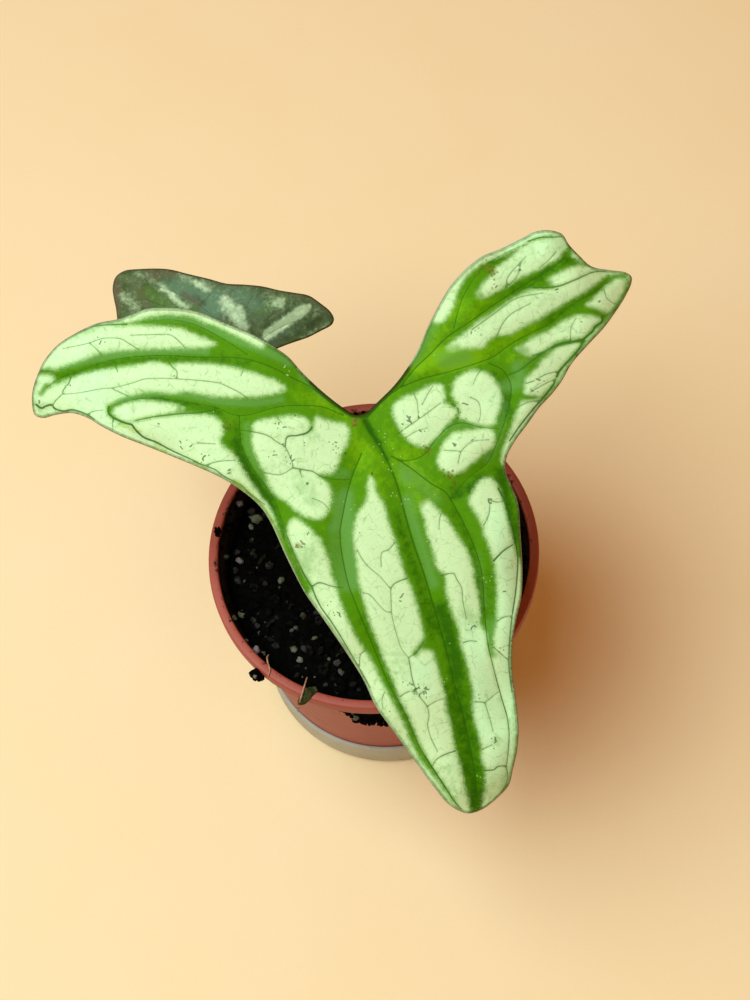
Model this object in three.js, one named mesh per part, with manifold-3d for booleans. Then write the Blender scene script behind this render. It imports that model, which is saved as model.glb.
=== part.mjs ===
// A young Cercestis mirabilis in a 9 cm nursery pot, standing in a low pale dish.
// Millimetres, +Z up. The origin is under the pot's axis, where the dish meets the table.
// One big patterned leaf covers most of the pot, and a small dark leaf stands behind it.
import * as THREE from "three";
import { mergeVertices } from "three/addons/utils/BufferGeometryUtils.js";
import Module from "manifold-3d";

const wasm = await Module();
wasm.setup();

// Gap between solids that touch on the real plant
const CLEARANCE = 0.3;

// Dish
const DISH_RADIUS = 37;
const DISH_HEIGHT = 13.5;
const DISH_WALL = 0.8;
const DISH_FLOOR = 2;
const DISH_ROUND = 0.3;

// Pot, which stands on the floor of the dish
const POT_RIM_RADIUS = 45;
const POT_TOP = 78;
const POT_FOOT_RADIUS = 34.6;
const POT_WALL = 1.2;
const POT_FLOOR = 1.6;
const LIP_WIDTH = 2.6;
const LIP_DEPTH = 5;
const SHOULDER_RADIUS = POT_RIM_RADIUS - LIP_WIDTH + 0.2;
const DRAIN_HOLES = 6;
const DRAIN_RADIUS = 3.5;
const DRAIN_CIRCLE = 22;
const DRAIN_SIDES = 12;
const POT_ROUND = 0.7;
const ROUND_SIDES = 56;

// Soil and the perlite and bark lumps that stand out of it
const SOIL_TOP = 69;
const LUMPS = 74;
const LUMP_RADIUS = [0.9, 1.9];
const LUMP_SEED = 7;
const LUMP_STRETCH = [1.2, 0.9, 0.8];
const LUMP_RISE = 0.25;
const LUMPS_FROM_WALL = 4;
const SOIL_SWELL = [0.9, 0.5];
const SOIL_EDGE_DIP = 1.2;
const SOIL_CROWN = 3;
const SOIL_RINGS = 7;
const SOIL_SIDES = 40;

// Stem, a short stub at the soil's surface that carries both leaf stalks
const STEM_CENTRE = [0.4, 6];
const STEM_PROFILE = [
  [0, 57], [3.4, 57.4], [4.6, 61], [5.2, 66], [6.2, 70], [6.3, 73.5], [5.4, 76], [3, 77.2], [0, 77.4],
];
const STEM_SIDES = 20;
const STEM_KNOBS = 0.05;
const SOCKET_CLEARANCE = 0.4;
const BARE_SOIL_ROUND_STEM = 9;

// Leaf blades: each has its own flat frame, u to the right and v up the drawing, w towards the eye.
// The blades lean forward by LEAN and are turned by TURN in their own plane.
const LEAN = THREE.MathUtils.degToRad(24.57);
const TURN = THREE.MathUtils.degToRad(-9.05);
const BLADE_THICKNESS = 0.8;
const RIB_GROOVE = 0.3;
const RIB_RIDGE = 0.7;
const RIB_HALF_WIDTH = 1.1;
const EDGE_DROP_REACH = 3;

// Least distances between the flat points of a blade: along a rib, beside it, and to the margin
const RIB_POINT_GAP = 1.6;
const RIB_SIDE_GAP = 0.95;
const MARGIN_GAP = 1.1;
const FIELD_GAP = 0.62;
const FIELD_SHAKE = 0.3;
const FIELD_SEED = 3;

// Steps along a margin and along a rib, as a share of a blade's point spacing
const MARGIN_STEP = 0.85;
const RIB_STEP = 1.1;

// The outlines run round the margin from the sinus, where the stalk meets the blade.
const BIG_LEAF = {
  junction: [3.26, 7.14, 142.75],
  eye: [2.9, -19.9, 438],
  spacing: 3.7,
  outline: [
    [-1.9, 0.6], [0.6, 1.2], [2.9, 3.3], [7.2, 7.6], [10.1, 11.4], [13, 16.2], [15.2, 21.4],
    [18.1, 27.1], [21.1, 32], [24.5, 35.7], [28.2, 38.6], [32.8, 40.5], [37.7, 42.9], [41.5, 44.7],
    [44.8, 44.9], [47.6, 44], [49.2, 41.6], [51.5, 39.1], [54.6, 36.3], [58.9, 35.4], [62.9, 34.8],
    [64.3, 33.8], [64.3, 32.3], [62.6, 28.6], [60.2, 24.9], [57.7, 21.5], [54, 17.5], [50, 12.9],
    [47.5, 8.6], [45.2, 5.6], [42, 2.1], [39.3, -1.7], [36.4, -5.6], [34.4, -9.4], [34, -12.6],
    [35.4, -16.4], [37, -20.4], [37.6, -27.8], [38.1, -37.7], [37.8, -43.5], [36.7, -48.3],
    [35.9, -52.5], [35.6, -58.2], [35.9, -63.4], [36.6, -68], [37.2, -75], [36.8, -80.3], [35.8, -84.7],
    [34.8, -88.5], [31.8, -91.8], [28.3, -94.4], [25, -95.3], [20.6, -93.3], [16.5, -88.5],
    [11.8, -82.1], [7.1, -75.6], [2.7, -69.4], [0, -63.5], [-4.3, -56.6], [-9.8, -48.6], [-14.3, -42.2],
    [-18.8, -33.5], [-22.6, -25.2], [-24.9, -21.7], [-28, -18.8], [-33.6, -15], [-40, -12], [-46, -9.5],
    [-52.5, -6.9], [-58.4, -4.6], [-62.8, -2.4], [-66.7, -0.1], [-70.2, 0.95], [-74.3, 0.5],
    [-77, -0.2], [-79.1, 0.5], [-79.8, 3.5], [-79.6, 6.7], [-78.4, 10.4], [-76.9, 13.5], [-73.8, 17.2],
    [-69.6, 20], [-64.3, 22.5], [-59, 23.6], [-55.6, 24.8], [-52.2, 26.1], [-48.1, 26.3], [-43.7, 26.1],
    [-39.5, 25.2], [-34, 22.9], [-27.2, 20.1], [-22.1, 17.2], [-18.2, 14.5], [-15, 10.9], [-10.2, 6.3],
    [-5.1, 2.3], [-3.1, 1],
  ],
  ribs: [
    [[0.2, -0.9], [3, -5.6], [5.6, -10.4], [7.9, -16.2], [10.2, -24.6], [12, -30.7], [14.3, -37.4],
      [16.6, -45], [18.2, -50.5], [20, -57], [21.8, -64.4], [23.6, -70.9], [25.3, -78.5], [26.5, -85],
      [27, -91.5]],
    [[-0.6, -8.8], [-3.1, -14.9], [-5.2, -23.8], [-5.8, -28.4], [-4, -39.3], [-1.8, -45.4], [2.2, -55],
      [6.4, -65], [9.2, -70], [13.9, -80], [19.5, -88.8]],
    [[6.6, -9.4], [10.4, -11.7], [16.5, -16.2], [19.7, -18.2], [21.9, -21.7], [24.5, -26.8],
      [26.8, -31.9], [28.2, -37.1], [29.2, -49.3], [30, -55.6], [32.7, -66.4], [34.4, -72]],
    [[-3, 0.2], [-8, 3.5], [-13, 7.2], [-17.6, 9.6], [-22, 11.9], [-26, 13.4], [-30, 14.2], [-40, 14.4],
      [-50, 14.8], [-60, 13.8], [-66.7, 11.7], [-73.2, 9.3], [-76.1, 7.1]],
    [[-28, 15], [-33.6, 18.5], [-41.3, 22.3], [-46.6, 23.3], [-53.1, 22.8]],
    [[-5, 0.4], [-10, 2.4], [-15, 2.8], [-19.5, 2.6], [-24, 1.6], [-28, 0.5], [-31.5, 0.6], [-35, 2.1],
      [-40, 3.1], [-50, 4.5], [-55.5, 4.2], [-59, 3]],
    [[-30, 0], [-29.9, -3], [-29.3, -7.5], [-27, -12], [-23.3, -17.1], [-20.7, -21.7], [-19.1, -26.8],
      [-14.6, -37.4]],
    [[0.8, 0], [5.6, 5], [8.4, 7], [12, 11.4], [15.9, 15.1], [20, 19.2], [25, 22.6], [30.9, 26.8],
      [40.8, 33.2], [45.1, 35.7], [48.4, 38.4]],
    [[21.6, 21.4], [23.5, 28], [26, 32.6], [29.1, 36.3], [35, 39.8], [39.5, 41.6]],
    [[8.5, 7], [13.9, 9.2], [20, 10.8], [28, 13.3], [31.2, 14.6], [35.2, 17.5], [40.2, 20.3],
      [45.1, 22.8], [48.8, 26.2], [54.3, 29.5], [58.3, 32.2]],
    [[30, 13], [33.5, 11.1], [35.2, 8], [35.3, 5], [34, -0.4], [31.9, -6], [29.5, -11], [25.8, -13.9],
      [22, -18]],
    [[6.6, -9.4], [10.1, -10.5], [14.5, -9], [16.8, -6], [20, -2.7], [23.2, -1.4], [28, -2.4],
      [32.4, -2.8]],
  ],
  sag: [[[0.27, -0.963], 98, 13], [[-0.975, 0.22], 79, 9], [[0.88, 0.47], 70, 9]],
  rise: 3.2,
  riseReach: 20,
  pillow: 0.9,
  pillowReach: 3.2,
  edgeDrop: 1.5,
  wave: 1.5,
  waveReach: 10,
  curl: [66, 0.055],
};

const SMALL_LEAF = {
  junction: [-25.4, 45.2, 112],
  eye: [34.5, -37.1, 482],
  spacing: 3.4,
  outline: [
    [1, 0], [5, 1.5], [9, 3.3], [12.7, 4.7], [16.5, 6], [19.9, 7.7], [22.9, 9.4], [23.5, 10.9],
    [22.5, 12.9], [20, 15], [16.8, 17.1], [13.2, 17.8], [8.9, 18.5], [4.7, 19.5], [0, 20], [-5, 20.3],
    [-9.5, 21.5], [-15, 22.8], [-20.6, 24.1], [-28.3, 24.1], [-32, 23.6], [-34.2, 22], [-35, 19.2],
    [-34.7, 16.4], [-34.1, 13.5], [-33.6, 10], [-31.5, 5], [-27, -0.5], [-22.5, -5.5], [-18, -10.5],
    [-13, -16], [-8, -21], [-3, -24.5], [1.5, -26.3], [5.5, -26], [7.5, -23.5], [7.3, -19.5], [6, -15],
    [3.6, -9], [1.2, -3.4],
  ],
  ribs: [
    [[-1, 0.2], [-8, 4.5], [-16, 8.5], [-24, 12], [-31, 15.5]],
    [[-2.4, 3.4], [-5.4, 8], [-12, 14.5], [-20, 18.5], [-27, 20.5]],
    [[-4.5, -0.6], [-10, -1.3], [-18.4, -0.3], [-26, 3.4]],
    [[1, 2], [5, 6], [11, 9.5], [17, 11], [20.5, 11]],
    [[-1, -3.4], [-1.4, -7.7], [-0.4, -14.5], [2.2, -20]],
  ],
  sag: [[[-0.906, 0.423], 38, 17], [[0.92, 0.4], 25, 4], [[0.2, -0.98], 26, 6]],
  rise: 2,
  riseReach: 9,
  pillow: 0.7,
  pillowReach: 2.6,
  edgeDrop: 1,
  wave: 0.8,
  waveReach: 7,
  curl: [90, 0],
};

// Leaf stalks: the foot stands in a socket of the stem and the top ends under the blade's sinus.
const BIG_STALK = {
  path: [
    [2.6, 5.2, 71.5], [2.6, 5.6, 77], [3.2, 8.5, 92], [3.4, 12, 110], [2.9, 13.4, 124],
    [2.8, 10.9, 133.2], [2.76, 7.24, 141.2],
  ],
  footRadius: 1.9,
  topRadius: 1.3,
  steps: 22,
};
const SMALL_STALK = {
  path: [
    [-2.2, 7, 71.5], [-2.7, 8.4, 77], [-7, 17, 88], [-14, 31, 97], [-21.3, 43.6, 101.4],
    [-25, 47.7, 105.4], [-25.4, 45.65, 110.75],
  ],
  footRadius: 1.5,
  topRadius: 1.05,
  steps: 22,
};
const STALK_SIDES = 10;
const STALK_CHANNEL = 0.78;

// Colours, roughness and metalness of each sub-part
const MATERIALS = {
  dish: [0xc8cdb9, 0.5],
  pot: [0xc25f48, 0.55],
  soil: [0x14100d, 0.95],
  stem: [0x5f7d36, 0.6],
  stalk: [0x4f7332, 0.5],
  big_leaf: [0xb4e29a, 0.45],
  small_leaf: [0x4d6b45, 0.5],
};

function material(kind) {
  const [color, roughness] = MATERIALS[kind];
  return new THREE.MeshStandardMaterial({ color, roughness, metalness: 0, side: THREE.DoubleSide });
}

function mesh(name, geometry, kind) {
  const made = new THREE.Mesh(geometry, material(kind));
  made.name = name;
  return made;
}

// Numbers between 0 and 1 in a fixed order
function seeded(seed) {
  let state = seed;
  return () => {
    state = (state * 1664525 + 1013904223) >>> 0;
    return state / 2 ** 32;
  };
}

function solid(geometry) {
  const bare = geometry.clone();
  bare.deleteAttribute("normal");
  bare.deleteAttribute("uv");
  const merged = mergeVertices(bare, 1e-4);
  const data = {
    numProp: 3,
    vertProperties: merged.getAttribute("position").array,
    triVerts: new Uint32Array(merged.index.array),
  };
  return new wasm.Manifold(new wasm.Mesh(data));
}

function geometryOf(made) {
  const { vertProperties, triVerts } = made.getMesh();
  return new THREE.BufferGeometry()
    .setAttribute("position", new THREE.BufferAttribute(vertProperties, 3))
    .setIndex(new THREE.BufferAttribute(triVerts, 1));
}

// A profile of [radius, height] points turned round the Z axis
function turned(profile, sides) {
  const points = profile.map(([radius, height]) => new THREE.Vector2(radius, height));
  return new THREE.LatheGeometry(points, sides).rotateX(Math.PI / 2);
}

function movePoints(geometry, move) {
  const position = geometry.getAttribute("position");
  const point = new THREE.Vector3();
  for (let i = 0; i < position.count; i++) {
    move(point.fromBufferAttribute(position, i));
    position.setXYZ(i, point.x, point.y, point.z);
  }
  return geometry;
}

// Dish: straight sided, with a rounded foot and lip
function dish() {
  const inner = DISH_RADIUS - DISH_WALL;
  return turned([
    [0, 0],
    [DISH_RADIUS - DISH_ROUND, 0],
    [DISH_RADIUS, DISH_ROUND],
    [DISH_RADIUS, DISH_HEIGHT - DISH_ROUND],
    [DISH_RADIUS - DISH_ROUND, DISH_HEIGHT],
    [inner + DISH_ROUND, DISH_HEIGHT],
    [inner, DISH_HEIGHT - DISH_ROUND],
    [inner, DISH_FLOOR + 2 * DISH_ROUND],
    [inner - 2 * DISH_ROUND, DISH_FLOOR],
    [0, DISH_FLOOR],
  ], ROUND_SIDES);
}

// Radius of the pot's outer wall at a height
function potRadius(height) {
  const rise = (height - DISH_FLOOR) / (POT_TOP - LIP_DEPTH - DISH_FLOOR);
  return POT_FOOT_RADIUS + (SHOULDER_RADIUS - POT_FOOT_RADIUS) * rise;
}

// Pot: a thin tapered shell with a stepped lip and round drain holes in its floor
function pot() {
  const lipFoot = POT_TOP - LIP_DEPTH;
  const floorTop = DISH_FLOOR + POT_FLOOR;
  const lipInner = POT_RIM_RADIUS - LIP_WIDTH;
  let made = solid(turned([
    [0, DISH_FLOOR],
    [POT_FOOT_RADIUS - POT_ROUND, DISH_FLOOR],
    [potRadius(DISH_FLOOR + POT_ROUND), DISH_FLOOR + POT_ROUND],
    [SHOULDER_RADIUS, lipFoot],
    [POT_RIM_RADIUS - POT_ROUND, lipFoot + POT_ROUND / 2],
    [POT_RIM_RADIUS, lipFoot + 2 * POT_ROUND],
    [POT_RIM_RADIUS, POT_TOP - POT_ROUND],
    [POT_RIM_RADIUS - POT_ROUND, POT_TOP],
    [lipInner + POT_ROUND, POT_TOP],
    [lipInner, POT_TOP - POT_ROUND],
    [SHOULDER_RADIUS - POT_WALL, lipFoot - POT_ROUND],
    [potRadius(floorTop) - POT_WALL, floorTop],
    [0, floorTop],
  ], ROUND_SIDES));
  for (let i = 0; i < DRAIN_HOLES; i++) {
    const angle = (2 * Math.PI * (i + 0.5)) / DRAIN_HOLES;
    const [x, y] = [DRAIN_CIRCLE * Math.cos(angle), DRAIN_CIRCLE * Math.sin(angle)];
    const hole = new THREE.CylinderGeometry(DRAIN_RADIUS, DRAIN_RADIUS, 4 * POT_FLOOR, DRAIN_SIDES)
      .rotateX(Math.PI / 2)
      .translate(x, y, DISH_FLOOR + POT_FLOOR / 2);
    made = made.subtract(solid(hole));
  }
  return geometryOf(made);
}

// Height of the soil: low swells, and a dip where it meets the pot
function soilHeight(x, y) {
  const broad = SOIL_SWELL[0] * Math.sin(x / 7 + 1.3) * Math.cos(y / 9 - 0.4);
  const narrow = SOIL_SWELL[1] * Math.sin(x / 3.1 + y / 4.3);
  const dip = SOIL_EDGE_DIP * (Math.hypot(x, y) / soilRadius(SOIL_TOP)) ** 6;
  return SOIL_TOP + broad + narrow - dip;
}

function soilRadius(height) {
  return potRadius(height) - POT_WALL - CLEARANCE;
}

// Soil: fills the pot, with lumps of perlite and bark fused into its top and a hole for the stem
function soil() {
  const foot = DISH_FLOOR + POT_FLOOR + CLEARANCE;
  const edge = SOIL_TOP - SOIL_CROWN;
  const profile = [[0, foot], [soilRadius(foot), foot], [soilRadius(edge), edge]];
  for (let i = 0; i <= SOIL_RINGS; i++) profile.push([soilRadius(edge) * (1 - i / SOIL_RINGS), SOIL_TOP]);
  const body = movePoints(turned(profile, SOIL_SIDES), (point) => {
    if (point.z > SOIL_TOP - 1) point.z = soilHeight(point.x, point.y);
  });
  let made = solid(body);
  const random = seeded(LUMP_SEED);
  for (let i = 0; i < LUMPS; i++) {
    const radius = LUMP_RADIUS[0] + (LUMP_RADIUS[1] - LUMP_RADIUS[0]) * random() ** 2;
    const reach = (soilRadius(SOIL_TOP) - LUMPS_FROM_WALL) * Math.sqrt((i + 0.5) / LUMPS);
    const angle = i * Math.PI * (3 - Math.sqrt(5)) + random();
    const x = reach * Math.cos(angle);
    const y = reach * Math.sin(angle);
    const lump = new THREE.IcosahedronGeometry(radius, 0)
      .rotateX(3 * random())
      .rotateY(3 * random())
      .scale(...LUMP_STRETCH)
      .rotateZ(6 * random())
      .translate(x, y, soilHeight(x, y) + LUMP_RISE * radius);
    const isFree = Math.hypot(x - STEM_CENTRE[0], y - STEM_CENTRE[1]) > BARE_SOIL_ROUND_STEM;
    if (isFree) made = made.add(solid(lump));
  }
  return geometryOf(made.subtract(solid(stemShape(CLEARANCE))));
}

// The stem's knobbly outside, grown by a margin for the hole that it stands in
function stemShape(grow) {
  const [foot, heel, ...above] = STEM_PROFILE;
  const crest = above.pop();
  const profile = [
    [0, foot[1] - grow],
    [heel[0] + grow, heel[1] - grow],
    ...above.map(([radius, height]) => [radius + grow, height]),
    [0, crest[1] + grow],
  ];
  return movePoints(turned(profile, STEM_SIDES), (point) => {
    const angle = Math.atan2(point.y, point.x);
    const knob = 1 + STEM_KNOBS * Math.sin(4 * angle + point.z / 3);
    point.set(point.x * knob + STEM_CENTRE[0], point.y * knob + STEM_CENTRE[1], point.z);
  });
}

// Stem with a socket for each stalk
function stem() {
  const sockets = [BIG_STALK, SMALL_STALK].map((stalk) => solid(stalkShape(stalk, SOCKET_CLEARANCE)));
  return geometryOf(solid(stemShape(0)).subtract(sockets[0]).subtract(sockets[1]));
}

// Stalk: swept along its path, thinner towards the blade, with a shallow channel down one side
function stalkShape(stalk, grow) {
  const points = stalk.path.map((point) => new THREE.Vector3(...point));
  points[0].z -= grow;
  const path = new THREE.CatmullRomCurve3(points);
  const section = new THREE.Shape();
  for (let i = 0; i < STALK_SIDES; i++) {
    const angle = (2 * Math.PI * i) / STALK_SIDES;
    const radius = i === 0 && !grow ? STALK_CHANNEL : 1;
    const corner = [radius * Math.cos(angle), radius * Math.sin(angle)];
    if (i === 0) section.moveTo(...corner);
    else section.lineTo(...corner);
  }
  const options = { steps: stalk.steps, bevelEnabled: false, extrudePath: path };
  const centres = path.getSpacedPoints(stalk.steps);
  return movePoints(new THREE.ExtrudeGeometry(section, options), (point) => {
    const distances = centres.map((centre) => centre.distanceTo(point));
    const step = distances.indexOf(Math.min(...distances));
    const along = step / stalk.steps;
    const radius = stalk.footRadius + (stalk.topRadius - stalk.footRadius) * Math.sqrt(along) + grow;
    point.sub(centres[step]).multiplyScalar(radius).add(centres[step]);
  });
}

// Points at even steps along a smooth line through the given points of a blade
function smoothLine(points, step, closed) {
  const curve = new THREE.CatmullRomCurve3(points.map(([u, v]) => new THREE.Vector3(u, v, 0)), closed);
  const count = Math.max(2, Math.round(curve.getLength() / step));
  const spaced = curve.getSpacedPoints(count).map(({ x, y }) => [x, y]);
  return closed ? spaced.slice(0, count) : spaced;
}

function lineDistance(u, v, line, closed) {
  let nearest = Infinity;
  for (let i = closed ? 0 : 1; i < line.length; i++) {
    const [startU, startV] = line[(i + line.length - 1) % line.length];
    const [endU, endV] = line[i];
    const [stepU, stepV] = [endU - startU, endV - startV];
    const share = ((u - startU) * stepU + (v - startV) * stepV) / (stepU ** 2 + stepV ** 2);
    const held = Math.min(1, Math.max(0, share));
    nearest = Math.min(nearest, Math.hypot(u - startU - held * stepU, v - startV - held * stepV));
  }
  return nearest;
}

function isInside(u, v, outline) {
  let inside = false;
  outline.forEach(([endU, endV], i) => {
    const [startU, startV] = outline[(i + outline.length - 1) % outline.length];
    const isCrossed = startV > v !== endV > v;
    if (isCrossed && u < ((endU - startU) * (v - startV)) / (endV - startV) + startU) inside = !inside;
  });
  return inside;
}

// How far a blade's middle surface stands out of its flat frame: the sinus lies a little low, the lobes sag
// towards their tips, the blade swells between its ribs, and its margin waves and turns down.
function reliefOf(leaf, margin, ribs) {
  return (u, v) => {
    const edge = lineDistance(u, v, margin, true);
    const rib = Math.min(...ribs.map((line) => lineDistance(u, v, line, false)));
    const [curlStart, curlRate] = leaf.curl;
    const wave = Math.sin(0.19 * u - 0.07 * v + 0.8) * Math.sin(0.05 * u + 0.17 * v - 0.5);
    const away = 1 - Math.exp(-((Math.hypot(u, v) / leaf.riseReach) ** 2));
    let height = leaf.rise * away;
    for (const [[alongU, alongV], reach, drop] of leaf.sag) {
      height -= drop * (Math.max(0, u * alongU + v * alongV) / reach) ** 2;
    }
    height += leaf.pillow * (1 - Math.exp(-((rib / leaf.pillowReach) ** 2)));
    height += leaf.wave * wave * away * Math.exp(-((edge / leaf.waveReach) ** 2));
    height -= leaf.edgeDrop * away * Math.exp(-((edge / EDGE_DROP_REACH) ** 2));
    height -= curlRate * Math.max(0, -u - curlStart) ** 2;
    return height;
  };
}

// The flat points of a blade: its margin, three rows along each rib, and an even field between them
function bladePoints(leaf, margin, ribs) {
  const points = margin.map(([u, v]) => ({ u, v, rib: 0 }));
  const random = seeded(FIELD_SEED);
  const add = (u, v, rib, gap) => {
    const isOnBlade = isInside(u, v, margin) && lineDistance(u, v, margin, true) > MARGIN_GAP;
    const isClear = isOnBlade && points.every((other) => Math.hypot(other.u - u, other.v - v) > gap);
    if (isClear) points.push({ u, v, rib });
  };
  for (const line of ribs) line.forEach(([u, v]) => add(u, v, 1, RIB_POINT_GAP));
  for (const line of ribs) {
    line.forEach(([u, v], i) => {
      const [beforeU, beforeV] = line[Math.max(0, i - 1)];
      const [afterU, afterV] = line[Math.min(line.length - 1, i + 1)];
      const length = Math.hypot(afterU - beforeU, afterV - beforeV);
      const across = [(beforeV - afterV) / length, (afterU - beforeU) / length];
      for (const side of [-RIB_HALF_WIDTH, RIB_HALF_WIDTH]) {
        add(u + side * across[0], v + side * across[1], 0, RIB_SIDE_GAP);
      }
    });
  }
  const box = new THREE.Box2().setFromPoints(margin.map(([u, v]) => new THREE.Vector2(u, v)));
  const rowStep = (leaf.spacing * Math.sqrt(3)) / 2;
  for (let row = 0; box.min.y + row * rowStep < box.max.y; row++) {
    for (let u = box.min.x + (row % 2) * 0.5 * leaf.spacing; u < box.max.x; u += leaf.spacing) {
      const v = box.min.y + row * rowStep;
      const [shakeU, shakeV] = [FIELD_SHAKE * (random() - 0.5), FIELD_SHAKE * (random() - 0.5)];
      add(u + shakeU, v + shakeV, 0, FIELD_GAP * leaf.spacing);
    }
  }
  return points;
}

// Delaunay triangles of flat points, added one at a time inside a large first triangle
function triangulate(points) {
  const far = 1e4;
  const all = [...points, { u: -far, v: -far }, { u: far, v: -far }, { u: 0, v: far }];
  const withCircle = (a, b, c) => {
    const [first, second, third] = [all[a], all[b], all[c]];
    const [bu, bv, cu, cv] = [second.u - first.u, second.v - first.v, third.u - first.u, third.v - first.v];
    const twice = 2 * (bu * cv - bv * cu);
    const centreU = (cv * (bu ** 2 + bv ** 2) - bv * (cu ** 2 + cv ** 2)) / twice;
    const centreV = (bu * (cu ** 2 + cv ** 2) - cu * (bu ** 2 + bv ** 2)) / twice;
    const reach = centreU ** 2 + centreV ** 2;
    return { corners: [a, b, c], u: first.u + centreU, v: first.v + centreV, reach };
  };
  let triangles = [withCircle(points.length, points.length + 1, points.length + 2)];
  points.forEach((point, index) => {
    const open = new Map();
    triangles = triangles.filter((triangle) => {
      if ((point.u - triangle.u) ** 2 + (point.v - triangle.v) ** 2 >= triangle.reach) return true;
      triangle.corners.forEach((corner, i) => {
        const next = triangle.corners[(i + 1) % 3];
        if (!open.delete(next + " " + corner)) open.set(corner + " " + next, [corner, next]);
      });
      return false;
    });
    for (const [from, to] of open.values()) triangles.push(withCircle(from, to, index));
  });
  return triangles.map(({ corners }) => corners).filter((corners) => Math.max(...corners) < points.length);
}

// Blade: a thin solid with both faces split into the same triangles.
// The ribs are grooves above and ridges below.
function blade(leaf) {
  const margin = smoothLine(leaf.outline, leaf.spacing * MARGIN_STEP, true);
  const ribs = leaf.ribs.map((line) => smoothLine(line, leaf.spacing * RIB_STEP, false));
  const relief = reliefOf(leaf, margin, ribs);
  const points = bladePoints(leaf, margin, ribs);
  const [eyeU, eyeV, eyeDistance] = leaf.eye;
  // A point that sinks slides along the line of sight, so the outline looks as drawn from the eye
  const middle = points.map(({ u, v }) => {
    const height = relief(u, v);
    const slide = height / eyeDistance;
    return new THREE.Vector3(u + (eyeU - u) * slide, v + (eyeV - v) * slide, height);
  });
  const triangles = triangulate(points).filter((corners) => {
    const [a, b, c] = corners.map((corner) => points[corner]);
    return isInside((a.u + b.u + c.u) / 3, (a.v + b.v + c.v) / 3, margin);
  });
  const skin = new THREE.BufferGeometry().setFromPoints(middle).setIndex(triangles.flat());
  skin.computeVertexNormals();
  const normals = skin.getAttribute("normal");
  const faceAt = (offset, ribOffset) => middle.map((point, i) => {
    const normal = new THREE.Vector3().fromBufferAttribute(normals, i);
    return point.clone().addScaledVector(normal, offset + ribOffset * points[i].rib);
  });
  const top = faceAt(BLADE_THICKNESS / 2, -RIB_GROOVE);
  const bottom = faceAt(-BLADE_THICKNESS / 2, -RIB_RIDGE);
  const edges = new Map();
  for (const corners of triangles) {
    corners.forEach((corner, i) => {
      const next = corners[(i + 1) % 3];
      if (!edges.delete(next + " " + corner)) edges.set(corner + " " + next, [corner, next]);
    });
  }
  const count = points.length;
  const faces = [
    ...triangles.flat(),
    ...triangles.flatMap(([a, b, c]) => [a + count, c + count, b + count]),
    ...[...edges.values()].flatMap(([a, b]) => [a, a + count, b + count, a, b + count, b]),
  ];
  return new THREE.BufferGeometry().setFromPoints([...top, ...bottom]).setIndex(faces);
}

function placedBlade(name, leaf, kind) {
  const holder = new THREE.Group();
  holder.position.set(...leaf.junction);
  holder.rotation.set(LEAN, 0, TURN);
  holder.add(mesh(name, blade(leaf), kind));
  return holder;
}

const plant = new THREE.Group();
plant.add(mesh("stem", stem(), "stem"));
plant.add(mesh("stalk_large", stalkShape(BIG_STALK, 0), "stalk"));
plant.add(mesh("stalk_small", stalkShape(SMALL_STALK, 0), "stalk"));
plant.add(placedBlade("leaf_large", BIG_LEAF, "big_leaf"));
plant.add(placedBlade("leaf_small", SMALL_LEAF, "small_leaf"));

const pottedPlant = new THREE.Group();
pottedPlant.add(mesh("dish", dish(), "dish"));
pottedPlant.add(mesh("pot", pot(), "pot"));
pottedPlant.add(mesh("soil", soil(), "soil"));
pottedPlant.add(plant);

export default pottedPlant;
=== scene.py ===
"""Finishes for a young Cercestis mirabilis in a 9 cm nursery pot, standing in a low pale dish.

Sizes are in millimetres in the solids' own frame, and become metres when a mesh or a node is made.
Each blade is drawn flat: u to the right and v up, from the point where its stalk joins it.
"""
import functools
import math
import random

import bmesh
import bpy
import numpy as np
from mathutils import Matrix, Vector, noise
from mathutils.geometry import delaunay_2d_cdt
from mathutils.kdtree import KDTree


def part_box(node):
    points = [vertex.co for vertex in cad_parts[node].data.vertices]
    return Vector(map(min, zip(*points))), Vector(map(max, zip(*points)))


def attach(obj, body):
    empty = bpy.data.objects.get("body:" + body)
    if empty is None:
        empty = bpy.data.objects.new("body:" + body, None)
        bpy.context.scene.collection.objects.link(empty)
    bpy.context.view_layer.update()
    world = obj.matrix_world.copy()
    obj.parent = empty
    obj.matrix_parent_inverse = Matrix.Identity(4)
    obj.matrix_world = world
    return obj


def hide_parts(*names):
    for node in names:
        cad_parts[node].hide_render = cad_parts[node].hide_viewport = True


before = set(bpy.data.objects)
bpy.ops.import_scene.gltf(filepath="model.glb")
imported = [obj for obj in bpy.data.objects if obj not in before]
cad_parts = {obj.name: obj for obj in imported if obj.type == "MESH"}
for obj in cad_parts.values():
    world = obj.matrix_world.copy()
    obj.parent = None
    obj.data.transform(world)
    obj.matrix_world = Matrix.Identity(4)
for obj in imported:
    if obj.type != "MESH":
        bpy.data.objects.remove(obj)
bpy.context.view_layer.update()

MM = 0.001

# Camera: it looks down at the pot from the front and is rolled a little
CAMERA_AIM = (2.72, 14.65, 78)
CAMERA_DISTANCE = 500
CAMERA_HEIGHT_ANGLE = math.radians(65.42)
CAMERA_ROLL = math.radians(-9.05)
LENS = 65.53
SENSOR = 36

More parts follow.
